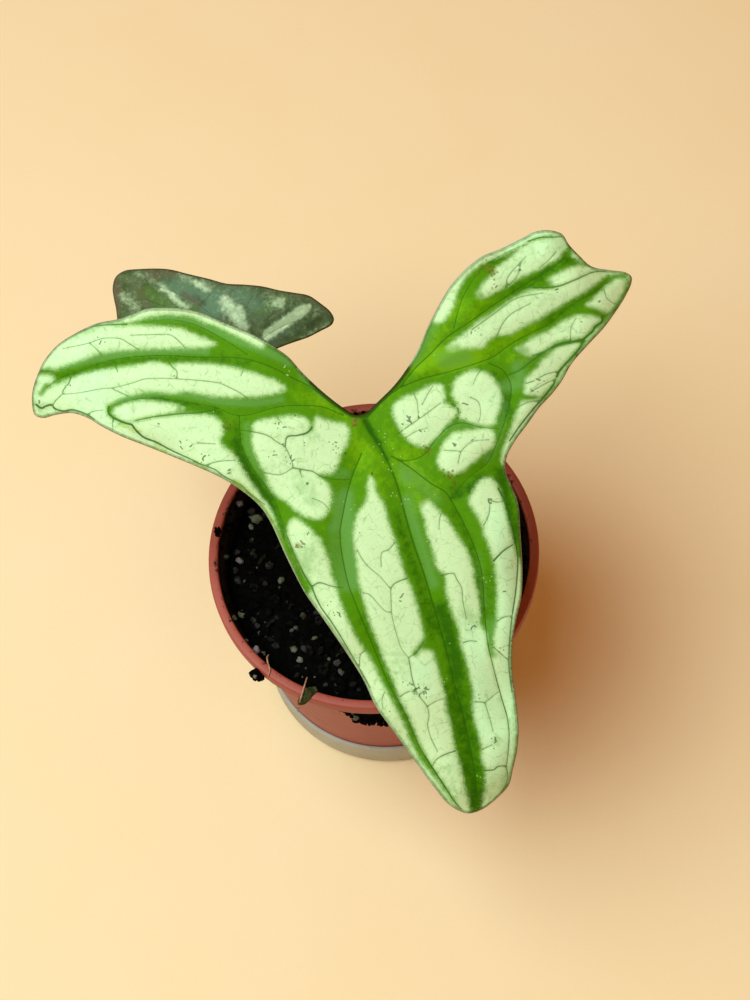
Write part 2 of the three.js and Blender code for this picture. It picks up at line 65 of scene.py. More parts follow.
# Dish and pot, turned round the Z axis; the steps are the longest stretches of their profiles
TURNED_SIDES = 160
DISH_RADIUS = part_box("dish")[1].x / MM
DISH_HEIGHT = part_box("dish")[1].z / MM
DISH_WALL = 1.1
DISH_FLOOR = 2
DISH_STEP = 5
POT_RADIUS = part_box("pot")[1].x / MM
POT_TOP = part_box("pot")[1].z / MM
POT_FOOT_RADIUS = 34.6
POT_WALL = 1.2
POT_FLOOR = 1.6
POT_STEP = 2.4
LIP_WIDTH = 2.6
LIP_DEPTH = 5
LIP_FOOT = POT_TOP - LIP_DEPTH
LIP_INNER = POT_RADIUS - LIP_WIDTH
SHOULDER_RADIUS = LIP_INNER + 0.2
DRAIN_HOLES = 6
DRAIN_RADIUS = 3.5
DRAIN_CIRCLE = 22

# Film of soil on the pot's inside, near black, which is also painted shade on the inner wall: it starts at a
# height and fades out near the top; dust lies on the lip
FILM_AND_SHADE_FROM = 60
FILM_AND_SHADE_FADES = (75.5, 77)
DUSTY_FROM = 76
LIP_DUST = 0.3

# Soil, with its crumbs and bits of bark
SOIL_TOP = 69
SOIL_GAP = 0.3
SOIL_SPACING = 0.75
SOIL_SIDES = 300
STEM_CENTRE = (0.4, 6)
STEM_ROOM = 8
CRUMBS = 620
BARK_BITS = 30

# Blades: how they lean, and the offsets of their two faces from the middle
LEAN = math.radians(24.57)
TURN = math.radians(-9.05)
TOP_OFFSET = 0.4
UNDER_OFFSET = 0.12
MARGIN_OFFSET = 0.1
MARGIN_REACH = 0.45
EDGE_DROP_REACH = 3
RIB_GROOVE = 0.3
RIB_RIDGE = 0.62
VEIN_GROOVE = 0.09
VEIN_DIP = 0.06
VEIN_RIDGE = 0.14

# Blades: how their flat points are spread, and how far their stored distances go
FINE_SPACING = 0.5
LINE_SPACING = 0.42
LEAST_GAP = 0.3
SAMPLE_STEP = 0.1
PATCH_REACH = 6.0
FAR = 9

# Share of its width that a rib or a vein has left at its end, and the radii of the small marks
RIB_ENDS = 0.55
VEIN_ENDS = 0.7
MARK_RADII = {"dots": 0.2, "rust": 0.3, "lint": 0.15}
TONES = ("light", "painted_sheen", "dull", "mint_and_painted_light", "stain", "lime", "veil", "shade",
         "streak", "teal", "warm", "leafy", "dusk")

BIG_LEAF = dict(
    junction=(3.26, 7.14, 142.75), eye=(2.9, -19.9, 438),
    rise=3.2, rise_reach=20, pillow=0.9, pillow_reach=3.2, edge_drop=1.5,
    wave=1.5, wave_reach=10, curl=(66, 0.055),
    sag=[((0.27, -0.963), 98, 13), ((-0.975, 0.22), 79, 9), ((0.88, 0.47), 70, 9)],
    outline=[
        (-1.9, 0.6), (0.6, 1.2), (2.9, 3.3), (7.2, 7.6), (10.1, 11.4), (13, 16.2), (15.2, 21.4),
        (18.1, 27.1), (21.1, 32), (24.5, 35.7), (28.2, 38.6), (32.8, 40.5), (37.7, 42.9), (41.5, 44.7),
        (44.8, 44.9), (47.6, 44), (49.2, 41.6), (51.5, 39.1), (54.6, 36.3), (58.9, 35.4), (62.9, 34.8),
        (64.3, 33.8), (64.3, 32.3), (62.6, 28.6), (60.2, 24.9), (57.7, 21.5), (54, 17.5), (50, 12.9),
        (47.5, 8.6), (45.2, 5.6), (42, 2.1), (39.3, -1.7), (36.4, -5.6), (34.4, -9.4), (34, -12.6),
        (35.4, -16.4), (37, -20.4), (37.6, -27.8), (38.1, -37.7), (37.8, -43.5), (36.7, -48.3),
        (35.9, -52.5), (35.6, -58.2), (35.9, -63.4), (36.6, -68), (37.2, -75), (36.8, -80.3),
        (35.8, -84.7), (34.8, -88.5), (31.8, -91.8), (28.3, -94.4), (25, -95.3), (20.6, -93.3),
        (16.5, -88.5), (11.8, -82.1), (7.1, -75.6), (2.7, -69.4), (0, -63.5), (-4.3, -56.6),
        (-9.8, -48.6), (-14.3, -42.2), (-18.8, -33.5), (-22.6, -25.2), (-24.9, -21.7), (-28, -18.8),
        (-33.6, -15), (-40, -12), (-46, -9.5), (-52.5, -6.9), (-58.4, -4.6), (-62.8, -2.4),
        (-66.7, -0.1), (-70.2, 0.95), (-74.3, 0.5), (-77, -0.2), (-79.1, 0.5), (-79.8, 3.5),
        (-79.6, 6.7), (-78.4, 10.4), (-76.9, 13.5), (-73.8, 17.2), (-69.6, 20), (-64.3, 22.5),
        (-59, 23.6), (-55.6, 24.8), (-52.2, 26.1), (-48.1, 26.3), (-43.7, 26.1), (-39.5, 25.2),
        (-34, 22.9), (-27.2, 20.1), (-22.1, 17.2), (-18.2, 14.5), (-15, 10.9), (-10.2, 6.3),
        (-5.1, 2.3), (-3.1, 1),
    ],
    ribs=[
        [(0.2, -0.9), (3, -5.6), (5.6, -10.4), (7.9, -16.2), (10.2, -24.6), (12, -30.7), (14.3, -37.4),
         (16.6, -45), (18.2, -50.5), (20, -57), (21.8, -64.4), (23.6, -70.9), (25.3, -78.5),
         (26.5, -85), (27, -91.5)],
        [(-0.6, -8.8), (-3.1, -14.9), (-5.2, -23.8), (-5.8, -28.4), (-4, -39.3), (-1.8, -45.4),
         (2.2, -55), (6.4, -65), (9.2, -70), (13.9, -80), (19.5, -88.8)],
        [(6.6, -9.4), (10.4, -11.7), (16.5, -16.2), (19.7, -18.2), (21.9, -21.7), (24.5, -26.8),
         (26.8, -31.9), (28.2, -37.1), (29.2, -49.3), (30, -55.6), (32.7, -66.4), (34.4, -72)],
        [(-3, 0.2), (-8, 3.5), (-13, 7.2), (-17.6, 9.6), (-22, 11.9), (-26, 13.4), (-30, 14.2),
         (-40, 14.4), (-50, 14.8), (-60, 13.8), (-66.7, 11.7), (-73.2, 9.3), (-76.1, 7.1)],
        [(-28, 15), (-33.6, 18.5), (-41.3, 22.3), (-46.6, 23.3), (-53.1, 22.8)],
        [(-5, 0.4), (-10, 2.4), (-15, 2.8), (-19.5, 2.6), (-24, 1.6), (-28, 0.5), (-31.5, 0.6),
         (-35, 2.1), (-40, 3.1), (-50, 4.5), (-55.5, 4.2), (-59, 3)],
        [(-30, 0), (-29.9, -3), (-29.3, -7.5), (-27, -12), (-23.3, -17.1), (-20.7, -21.7),
         (-19.1, -26.8), (-14.6, -37.4)],
        [(0.8, 0), (5.6, 5), (8.4, 7), (12, 11.4), (15.9, 15.1), (20, 19.2), (25, 22.6), (30.9, 26.8),
         (40.8, 33.2), (45.1, 35.7), (48.4, 38.4)],
        [(21.6, 21.4), (23.5, 28), (26, 32.6), (29.1, 36.3), (35, 39.8), (39.5, 41.6)],
        [(8.5, 7), (13.9, 9.2), (20, 10.8), (28, 13.3), (31.2, 14.6), (35.2, 17.5), (40.2, 20.3),
         (45.1, 22.8), (48.8, 26.2), (54.3, 29.5), (58.3, 32.2)],
        [(30, 13), (33.5, 11.1), (35.2, 8), (35.3, 5), (34, -0.4), (31.9, -6), (29.5, -11),
         (25.8, -13.9), (22, -18)],
        [(6.6, -9.4), (10.1, -10.5), (14.5, -9), (16.8, -6), (20, -2.7), (23.2, -1.4), (28, -2.4),
         (32.4, -2.8)],
    ],
    # Pale patches between the green bands; those at the margin run past it
    patches=[
        [(-60.5, 22.3), (-60, 26), (-54, 28), (-44, 28.5), (-34, 25.5), (-26, 21.5), (-21, 17.4),
         (-22, 16.9), (-24.9, 16.7), (-27.2, 17.8), (-29.7, 19.1), (-32, 20.1), (-36, 22),
         (-38.4, 22.6), (-40.7, 23.8), (-43.7, 24.4), (-49.6, 24.4), (-52.5, 23.9), (-56.4, 22.6)],
        [(-35.6, 17.4), (-38.4, 18.8), (-40.7, 19.8), (-43.7, 21.1), (-48.1, 21.7), (-55.5, 22),
         (-60.5, 22.1), (-61, 26), (-67, 25), (-73, 22), (-78, 17), (-81, 11.4), (-77.4, 11.3),
         (-74.8, 11.2), (-72.6, 12.2), (-67.9, 13.7), (-63.1, 15.4), (-57, 16.1), (-54.3, 16.4),
         (-45, 16.6), (-36.5, 17)],
        [(-78.2, 10.9), (-82, 13), (-82, -3), (-64, -4), (-60.3, -3.4), (-58.6, -1.1), (-60.2, -0.5),
         (-61.6, 0.6), (-62.2, 2), (-65.5, 3), (-74, 4), (-76.8, 6.1), (-76.3, 7.3), (-74.9, 8.3),
         (-74.3, 9.2), (-75.1, 10.1), (-76.8, 10.6)],
        [(-18.9, 6.8), (-20.8, 8.4), (-24, 9.7), (-27.2, 10.8), (-34.9, 12.4), (-43.7, 12.9),
         (-46.6, 12.5), (-50, 13.1), (-56.7, 12.1), (-62.6, 11.3), (-67.9, 10.1), (-72, 8.6),
         (-75.6, 7), (-77, 5.8), (-77, 2), (-68, 0.6), (-64, -1), (-61.9, 1), (-61.8, 2.4),
         (-59, 4.2), (-55.5, 5.4), (-51.3, 6.2), (-45, 5.8), (-42.8, 6.2), (-36.8, 5.2), (-33.6, 4.9),
         (-28, 4.9), (-24.2, 5.2), (-19.5, 6.3)],
        [(-60.2, 1.8), (-58.7, 2.7), (-57, 3.3), (-54.9, 3.75), (-52.5, 3.9), (-49.6, 3.6),
         (-46.6, 3.15), (-44, 2.4), (-43.1, 1.8), (-45.2, 1.25), (-48.1, 0.65), (-50.5, 0.2),
         (-54.9, -0.8), (-57, -1.2), (-59, -0.5), (-60.4, 0.6)],
        [(-58.3, -1.4), (-54.9, -1), (-52, -0.4), (-48.1, 0.1), (-42, 0.6), (-37, 0.3), (-35.8, -0.1),
         (-34.6, -1.2), (-33.9, -3.8), (-34.6, -5), (-34.2, -6.8), (-32.3, -8.4), (-30.7, -10),
         (-29.7, -12), (-27.8, -14.9), (-26.2, -17.1), (-24.6, -19.3), (-23, -21.3), (-22, -23.5),
         (-21, -26.2), (-19.1, -31.9), (-16.5, -37.7), (-17, -41), (-21, -34), (-26, -24),
         (-33, -18.5), (-42, -13.5), (-52, -9.5), (-60, -6.5), (-63, -4)],
        [(-26.5, -1.7), (-24.9, -0.9), (-22, -0.4), (-17.6, 0.2), (-15, 0), (-13.7, -0.8), (-12.6, -2),
         (-11.5, -0.1), (-9.2, -0.8), (-6.7, -1.4), (-4.4, -2), (-3.8, -3.3), (-4.1, -6.2),
         (-5.4, -8.4), (-6.3, -11.3), (-7.6, -13.3), (-10.2, -13.7), (-11, -14.2), (-9.6, -15.2),
         (-8.3, -16.8), (-7.9, -19), (-8.6, -22.2), (-9.6, -23.8), (-11.2, -24.5), (-14.4, -23.8),
         (-16.3, -22.5), (-18.2, -20.6), (-20.1, -19.3), (-21.7, -18), (-23, -15.8), (-23.7, -13.6),
         (-25.6, -10), (-26.5, -7.8), (-26.9, -5.6), (-26.7, -3.6)],
        [(-17.8, -25.1), (-16.2, -24.5), (-14, -25.9), (-12.1, -27.8), (-10.4, -29.7), (-9.5, -31.9),
         (-8.5, -34.8), (-7.9, -37.7), (-7.2, -39.6), (-6.5, -41.9), (-4.6, -47.3), (-2, -52.8),
         (1.8, -58.5), (4.4, -63.8), (7.4, -69.4), (10, -74.4), (10.9, -77), (12.4, -80),
         (13.8, -82.7), (17, -86.4), (20.8, -91.4), (22.6, -94), (22, -97), (16, -92), (9, -83),
         (3, -74), (-2, -65), (-6, -57), (-12, -48), (-14, -43.6), (-12.5, -40.9), (-14.6, -37.4),
         (-15.9, -34.5), (-16.9, -31.9), (-18.1, -29.4)],
        [(1.2, -14.6), (2, -14.8), (2.9, -18), (4.4, -20.4), (5.3, -23.3), (6.3, -26.8), (7.4, -29.7),
         (8.1, -32.3), (9.1, -35.8), (10.1, -38.7), (11.3, -41.2), (12.3, -44.1), (13.1, -47.3),
         (13.9, -50.5), (14.2, -53.1), (13.4, -55.2), (12.6, -56.5), (14.2, -56), (16.2, -56.3),
         (17, -58.2), (18.3, -62.9), (19.2, -66.7), (19.7, -70.3), (20.6, -73.8), (21.8, -80),
         (22.5, -82.1), (23.3, -85.3), (24, -88.8), (24.9, -92), (25.2, -96.5), (23.6, -96),
         (21.2, -91), (18.6, -87.2), (15.8, -82.6), (14.1, -79.4), (12.7, -76.2), (11.5, -73.2),
         (10, -70), (8.5, -67.3), (7.4, -63.8), (5.7, -60), (4.3, -56.5), (2.9, -52.8), (1.6, -49.6),
         (0.5, -46), (-1.1, -39.6), (-1.6, -35.8), (-2.1, -31.9), (-2.5, -28.7), (-2.2, -26.2),
         (-1.5, -23.3), (-0.2, -21.4), (0.8, -19.1)],
        [(13.7, -20.8), (15.2, -20.2), (16.8, -21.4), (18.4, -23), (20, -24.6), (21.3, -26.8),
         (22.9, -29.4), (24.2, -31.3), (25.3, -33.9), (26.1, -36.4), (26.4, -39.3), (27.1, -41.9),
         (27.6, -44.8), (28.1, -50), (29.3, -52.1), (29.8, -54.5), (30.5, -57.4), (34.6, -58.5),
         (38, -60), (39.5, -70), (39, -84), (36, -92), (30, -97), (28.5, -97), (28.3, -93.3),
         (28.9, -90.3), (29.2, -87.4), (29.2, -84.7), (28.4, -82.1), (28.3, -79.4), (27.6, -76.2),
         (26.7, -73.2), (26.2, -69.7), (26.2, -66.1), (25.2, -60.8), (24.5, -58.2), (23.2, -53.7),
         (22.9, -51.2), (21.9, -48.6), (20.3, -43.8), (19.7, -41.2), (19.4, -37.9), (18.1, -36.8),
         (17, -33.9), (16.2, -30.7), (15.2, -27.8), (14.6, -24.6), (13.6, -21.7)],
        [(27.1, -16.2), (26.1, -18.2), (25.3, -20.1), (26.1, -22), (27.4, -23.9), (28.5, -26.2),
         (29, -28.4), (30, -30.7), (30.6, -32.6), (31.1, -34.5), (31.6, -37.1), (31.9, -39.6),
         (32, -46), (31.9, -49.3), (31.4, -52.5), (31.2, -57.6), (31.6, -60), (40, -61), (40, -36),
         (37.4, -34.5), (36.2, -32), (35.6, -29.4), (34.8, -26.5), (34.1, -23.3), (33.2, -20.1),
         (32.4, -17.5), (31.2, -15.6), (29.6, -14.6)],
        [(7.2, 2.8), (8.5, 4), (10.1, 5), (12, 5.5), (13.9, 6.6), (15.9, 7.6), (18.1, 7.9), (19.4, 7.2),
         (19.7, 5.6), (19.2, 3.7), (21.3, 2.8), (22.4, 1.5), (21.6, -0.1), (20, -1.7), (18.4, -3.7),
         (16.5, -5.6), (14.9, -7), (13, -6.9), (11.1, -5.9), (9.8, -4.6), (8.8, -3.3), (7.9, -1.4),
         (7.1, 0.5)],
        [(21.2, 5.6), (21.6, 7.9), (22.6, 9.5), (24.2, 10.4), (26.1, 11.2), (28, 10.9), (29.7, 10.3),
         (31.3, 8.8), (32.5, 6.9), (33, 4.7), (32.7, 2.4), (31.9, 0.2), (31.3, -1.7), (29, -2),
         (26.8, -1.6), (24.8, -0.8), (23.2, -0.3), (22.9, 1.5), (21.6, 3.1)],
        [(20.4, -4.9), (21.3, -4), (23.2, -3.5), (25.5, -3.2), (28, -2.9), (30.6, -3), (31.4, -4.6),
         (30.9, -6.9), (29.3, -8.1), (27.4, -9.7), (25.5, -11.3), (23.6, -12.9), (21.3, -13.6),
         (19.1, -12.9), (17.8, -11.3), (18, -9.1), (19.1, -6.5)],
        [(20, 16.6), (22.4, 18.8), (25, 20.8), (27.1, 22.7), (29.5, 24.2), (32.1, 25.9), (35, 28),
         (37.7, 29.5), (40.2, 30.5), (45.1, 30.9), (49.7, 32.9), (54.9, 35), (58.3, 34.4),
         (56.2, 32.6), (53.7, 30.8), (51.2, 29.2), (48.8, 28), (46.6, 26.5), (44.2, 25.2),
         (42, 23.7), (39.5, 22.5), (37.1, 21.2), (35, 20), (31.9, 19.7), (30, 18.5), (28.4, 16.9),
         (23.2, 16.5), (20.4, 15.9)],
        [(44.2, 32.9), (46.3, 34.2), (48.8, 35.4), (51.2, 36.2), (53.7, 36.3), (57, 38), (62, 37.5),
         (67, 35.5), (66, 31), (63.7, 31.2), (63.6, 33.2), (62.8, 34.3), (60.5, 34.3), (58.3, 34.2),
         (54.9, 34.6), (49.7, 32.4), (46.9, 31.4), (45.4, 31.7)],
        [(27.2, 29.2), (28.2, 31.1), (29.4, 32.9), (31.2, 34.2), (31.5, 35.4), (33.1, 36.6),
         (34.3, 37.5), (36.2, 39.1), (37.7, 40.6), (40.2, 42), (42.6, 42.8), (45.1, 43.1),
         (47.8, 43.4), (50, 43), (48.9, 40.9), (47.5, 39.4), (46.6, 38.2), (45.1, 37.2), (43.2, 36.3),
         (41.1, 35.1), (38.9, 34.2), (36.8, 33.2), (34.9, 32), (32.8, 30.8), (30.3, 29.5),
         (28.2, 28.6)],
        [(18.2, 22.2), (19.6, 23.4), (21, 25.5), (21.8, 27.4), (22.2, 29.2), (22.9, 30.9), (23.9, 32.8),
         (25.1, 34.3), (26.5, 35.5), (28.2, 36.7), (30.4, 37.7), (32.9, 38.7), (35.6, 39.8), (38.1, 41.1),
         (39.9, 42.2), (42.6, 43.1), (45.7, 43.5), (49, 42.5), (51, 44), (46, 47.5), (38, 46),
         (30, 43), (22, 37), (18, 30.5), (15.5, 24.5)],
        [(50, 38.6), (50.5, 41.5), (55, 39.5), (57, 36.2), (54.5, 36.6), (52.5, 37.3)],
        [(53.4, 26.8), (54.9, 28.3), (56.8, 30.2), (58.9, 32), (61.1, 33.2), (62.6, 32.9),
         (62.8, 31.4), (61.7, 29.2), (60.2, 26.5), (58, 25.2), (55.8, 26.2)],
        [(48.8, 23.4), (51.2, 24.3), (54, 24.3), (56.2, 24), (56.8, 23.1), (55.2, 21.8), (54.3, 20.6),
         (52.5, 19.1), (50, 18.8), (47.5, 18.5), (45.7, 17.8), (44.2, 16.6), (42, 15.4), (39.5, 14.8),
         (37.7, 15.4), (36.5, 16.3), (38, 17.2), (40.2, 18.8), (42.6, 20), (45.1, 21.2),
         (47.5, 22.8)],
        [(39, 9.2), (41.4, 11.7), (42.6, 13.5), (44.5, 15), (46.3, 16.7), (48.8, 17.5), (51.5, 17.9),
         (51.6, 16.9), (50.3, 15.4), (48.8, 13.5), (46.9, 11.4), (46, 9.2), (44.8, 7.4), (43.4, 5.8),
         (42, 4.8), (40, 5.4), (38.7, 5.7), (38.6, 7.6)],
        [(37.7, 3.4), (37, 1.8), (36.1, -0.4), (35.4, -2.7), (34.5, -4.6), (33.5, -7.2), (32.9, -9.7),
         (33.6, -11.5), (35.2, -9.4), (37.2, -6), (39.8, -2.4), (42.8, 1.4), (45, 4.4), (42.4, 4.3),
         (39.6, 4)],
        [(63.6, 33), (67, 34), (64, 27), (58, 19), (51, 11), (47, 5), (43.6, 4.4), (45.6, 7.6),
         (47, 10.6), (49, 12.9), (51, 15), (52.7, 17), (53.4, 18.6), (55.3, 20.5), (57.6, 22.6),
         (59.8, 25), (61.3, 26.8), (62.5, 28.8), (63.4, 30.8)],
    ],
    # Fine veins: half the drawn width and the line
    veins=[
        (0.12, [(-54.3, 16.4), (-56.7, 17.9), (-58.3, 18.8), (-62.6, 18.9), (-66.7, 17.6), (-72.3, 16.4)]),
        (0.12, [(-63.1, 15.1), (-64.9, 16.9), (-66.1, 17.8)]),
        (0.12, [(-43, 16.7), (-44.5, 18.3), (-46.6, 19.7), (-50.8, 19.8), (-56, 19.7)]),
        (0.19, [(-79.6, 9.2), (-77.6, 11), (-74.8, 11)]),
        (0.2, [(-57, 22.3), (-63, 22), (-66, 21.5), (-69, 20.2)]),
        (0.12, [(-27.8, 4.4), (-30.1, 6), (-32.3, 7.1), (-34.6, 8.1), (-40.7, 8.9), (-52.5, 9.2),
                (-55.5, 8.3), (-60.2, 7.1), (-63.1, 6.8), (-68.7, 5.8), (-72.3, 5.5)]),
        (0.14, [(-56.7, 5.1), (-60.5, 6.8)]),
        (0.18, [(-70.4, 9.6), (-70.8, 8.2), (-72, 6.7), (-72.6, 5.4), (-74, 4), (-74.6, 3)]),
        (0.15, [(-59.75, 12.3), (-59.2, 10.8)]),
        (0.16, [(-46.9, 13.2), (-46.2, 12.1), (-45, 11), (-45, 9.4)]),
        (0.14, [(-29.1, 11.1), (-29.6, 10)]),
        (0.26, [(-78.6, 3), (-77.4, 2.2), (-75.8, 2.9), (-74.8, 3), (-74.3, 2.2), (-72.2, 1.5),
                (-70, 1.8), (-66.5, 0.6), (-64.8, -0.6)]),
        (0.12, [(-66.5, 0.6), (-65.4, 1.3), (-62.8, 1.7)]),
        (0.27, [(-61.4, 2.4), (-61.4, 1), (-60.5, 0), (-58.7, -0.9), (-57, -1.5), (-55.8, -1.8),
               (-55.2, -2.6), (-54.3, -3.6), (-52.8, -4.8), (-50.2, -5.8), (-46, -8), (-40, -10.8)]),
        (0.14, [(-60.4, -0.3), (-60.4, -3)]),
        (0.2, [(-35, 2), (-36.8, 1.5), (-40, 0.95), (-43.7, 0.8), (-48.1, 0.36), (-51, 0), (-54.9, -0.8)]),
        (0.14, [(-40, -6.2), (-35.8, -6.5)]),
        (0.14, [(-38.1, -11.5), (-35.2, -10.7), (-31, -10.4)]),
        (0.2, [(-41, -10.6), (-38.1, -11.7), (-35.8, -12.6), (-33.6, -14.2), (-31.7, -15.2),
               (-29.4, -16.5), (-27.8, -18.1), (-24, -21)]),
        (0.15, [(-29.6, -3.1), (-27.5, -3.4), (-23.3, -4.4), (-21.1, -5.9), (-19, -7.3), (-17.9, -9.4),
                (-17.2, -12), (-18.2, -12.9), (-20.1, -13.8), (-24, -13.3)]),
        (0.24, [(-12.6, -2.6), (-13.6, -3.7), (-16, -4.4), (-18.5, -4.8), (-19, -7.3)]),
        (0.18, [(-17.2, -12.2), (-14.4, -12.7), (-12.4, -13.1), (-10.5, -14.2), (-7.9, -14.9),
                (-3.5, -15)]),
        (0.12, [(-20.8, -0.3), (-19.8, -1.4)]),
        (0.12, [(-15.5, -13), (-14.9, -14.5)]),
        (0.12, [(-12.5, -19.5), (-10, -20.6), (-8.6, -22)]),
        (0.19, [(-12.5, -40.8), (-10.8, -39.8), (-7.6, -40.7), (-5, -41)]),
        (0.23, [(-18.4, -29), (-16.8, -33), (-14.6, -37.4), (-12.5, -40.9), (-11.4, -43.5),
                (-10.1, -46), (-8.2, -48.6), (-6, -52), (-3.9, -55.5), (-1, -60.5), (1.5, -65)]),
        (0.14, [(0.3, -56), (-0.8, -57), (-1, -60)]),
        (0.12, [(5, -66.1), (4.4, -67.9), (4.6, -70)]),
        (0.18, [(14.3, -54.1), (12.3, -56.8), (10.7, -57.75)]),
        (0.15, [(10.7, -57.8), (11.1, -60), (11.4, -62), (11.9, -64), (13, -66.7), (15.2, -69.7),
                (15.6, -72), (15.3, -73.8), (16.1, -77), (17.7, -80.3)]),
        (0.12, [(6.4, -41.5), (6.5, -44.5), (6.6, -47), (7.2, -50), (8.2, -53.5), (9.2, -56),
                (10.7, -57.8)]),
        (0.12, [(-1.6, -32), (-0.5, -34), (0.9, -35.8), (2.5, -37.2), (4, -38.5), (6.4, -41.4)]),
        (0.18, [(10.3, -38.8), (8.5, -39.4), (7, -40.3), (6.4, -41.5)]),
        (0.14, [(7.4, -30.1), (6, -31.8), (4.3, -32.6), (4.1, -36)]),
        (0.12, [(-0.2, -42.2), (1.4, -42.7), (3.3, -44.8), (5.1, -46.6), (6.3, -47)]),
        (0.16, [(8.5, -67.3), (10.3, -66.1), (11.8, -65.7)]),
        (0.12, [(15.3, -69.4), (17.7, -68.1), (19.2, -67.6)]),
        (0.18, [(21.8, -80.3), (19.2, -81.2), (17.4, -82.4), (16.5, -84)]),
        (0.24, [(14.6, -81.4), (16.3, -84), (18.3, -87.1), (20.3, -90), (22.1, -92.7), (23.3, -94.1)]),
        (0.15, [(18.6, -38), (20, -37.7), (21.5, -37.6), (22.3, -39), (23.4, -41), (23.7, -44),
                (24.6, -48.5)]),
        (0.12, [(18.4, -23.3), (18.1, -25), (18, -27)]),
        (0.16, [(23.9, -54.2), (25.2, -53.8), (27, -53.9)]),
        (0.14, [(26.7, -68.4), (28.9, -68.7), (29.5, -70.3), (30.4, -73.2), (31, -75.6)]),
        (0.12, [(28.9, -68.7), (32.1, -66.1)]),
        (0.14, [(28.4, -79.9), (30.7, -78.8)]),
        (0.18, [(29.2, -84.9), (31.2, -84.7), (32, -84), (33.7, -83.9), (34.3, -85), (34.3, -87.4),
                (33, -90.2)]),
        (0.2, [(29.8, -54), (30.8, -58.5), (32.5, -65.4), (34.2, -71.5), (34.8, -75.6), (34.6, -80),
                (34.1, -84)]),
        (0.23, [(31.2, -34.5), (32.4, -33.1), (33.8, -31.8), (35.6, -30.7)]),
        (0.14, [(32, -49.1), (33.8, -48), (35.4, -47.8)]),
        (0.14, [(31.2, -55.3), (33.2, -57.1), (34.6, -58.4)]),
        (0.15, [(28.8, -26), (29.6, -24.4), (30.1, -22.8), (30.2, -20)]),
        (0.14, [(30, -20), (32, -20.5), (33.5, -20.3)]),
        (0.23, [(32.2, -17.2), (33.8, -20.4), (34.8, -23.6), (35.6, -26.8), (36.7, -32.3),
                (36.85, -34.5), (36.4, -41.2), (35.6, -47.3), (34.9, -54.1), (34.8, -60), (35.6, -66)]),
        (0.15, [(8.3, -4), (10.4, -2.4), (13.3, -0.4), (15.9, 1.5), (18.4, 3.4)]),
        (0.12, [(12, 5.6), (12.8, 3.4), (13, -0.1)]),
        (0.2, [(21.2, 3.2), (22.2, 2.2), (22.8, 1.2)]),
        (0.12, [(28.4, 11.6), (27.1, 9.8), (26.3, 7.9)]),
        (0.12, [(25.5, 4.8), (27.5, 3.6), (28, 0.5), (27.5, -1.2)]),
        (0.14, [(32, 19.7), (33, 22), (35, 24.5), (37.5, 26), (40, 27.3)]),
        (0.2, [(40.8, 31.1), (44.2, 31.1), (46.9, 31.5), (49.7, 32.6), (52.5, 33.8), (54.9, 34.8),
                (58, 35.1)]),
        (0.12, [(34, 31.5), (34.5, 33.5), (36.5, 36), (39, 38.5)]),
        (0.2, [(39.5, 42.2), (42.5, 43.1), (46, 43.2), (48.6, 43.6)]),
        (0.1, [(10.9, -64), (12.2, -65), (12, -66.6)]), (0.1, [(14, -66), (14.8, -65.7), (15.7, -65.3)]),
        (0.1, [(14.8, -65.7), (14.4, -66.7)]), (0.1, [(12.2, -65), (13.4, -65.2)]),
        (0.15, [(38.9, 8), (41.1, 8.8), (43.5, 10.2), (46.6, 11.1)]),
        (0.14, [(26, 21), (31, 24.6), (36.5, 28.4), (43, 29.8)]),
        (0.12, [(34, 31), (36.8, 34), (38, 37.6)]),
        (0.12, [(46, 39.6), (44.4, 37.8), (42, 35.8)]),
        (0.13, [(40.6, 14.8), (46, 16.8), (50.5, 17.9), (54.6, 18.4)]),
        (0.12, [(49.6, 18.8), (49.8, 21.6), (51, 23.8)]), (0.12, [(36.8, 2.2), (39.4, 3.6), (41.6, 4)]),
        (0.12, [(40, 6), (43.4, 8), (46, 9.2)]), (0.12, [(57.6, 30.6), (58.4, 28.4), (60.2, 27.2)]),
        (0.12, [(10, -5), (12.6, -3.4), (15.2, -2.6)]), (0.12, [(14, 3), (15.4, 5.6), (16.6, 7.4)]),
        (0.12, [(22.6, -11), (23.4, -8.2), (26, -6), (30, -5.4)]), (0.12, [(19.4, -8), (23.2, -8.2)]),
        (0.27, [(34.8, 10.2), (37.1, 11.1), (41.7, 14.5), (46.6, 17.5), (50.5, 18.3), (53, 18.9)]),
        (0.29, [(57.2, 24.3), (57.1, 22.9), (55.5, 21.8), (54.8, 20.6), (52.8, 18.8), (52.2, 17.2),
                (50.6, 15.1), (48.8, 13.2), (46.9, 11.1), (46, 9.2), (45.1, 7.4), (43.4, 5.2),
                (40.6, 2), (37.6, -1.8), (35, -5.6)]),
    ],
    # Green bands that cross the pale patches: half width and line
    bands=[
        (0.3, [(-12.6, -3), (-12.4, -1.6), (-13, 0), (-13.4, 1.5)]),
        (0.55, [(17.3, -49.3), (16.8, -51.8), (15.9, -53.1), (14.3, -54.1), (12.3, -56.8)]),
        (0.45, [(47.5, 24.3), (48.8, 26.8), (51.8, 27.7), (54.3, 29.5), (56.5, 31.1), (58.3, 32.6),
                (60.2, 33.7), (61.7, 33.8), (63.1, 33.2), (62.9, 30.8), (62, 28.9), (59.2, 25.1)]),
        (0.4, [(50, 25.2), (54.3, 25.2), (56.5, 24.9), (59.2, 25.1)]),
        (0.9, [(20, 10.6), (20, 7), (20.6, 4.2), (21.6, 3.1)]),
        (0.5, [(35.4, 4.6), (37.7, 4.6), (41, 4.8)]),
    ],
    # Soft strokes of each tone: strength, radius and line
    # Light strokes: painted light and painted shade on the green bands, lighter on the grooves' lit sides and
    # where light shines through near the stalk, darker in the shaded valleys
    light=[
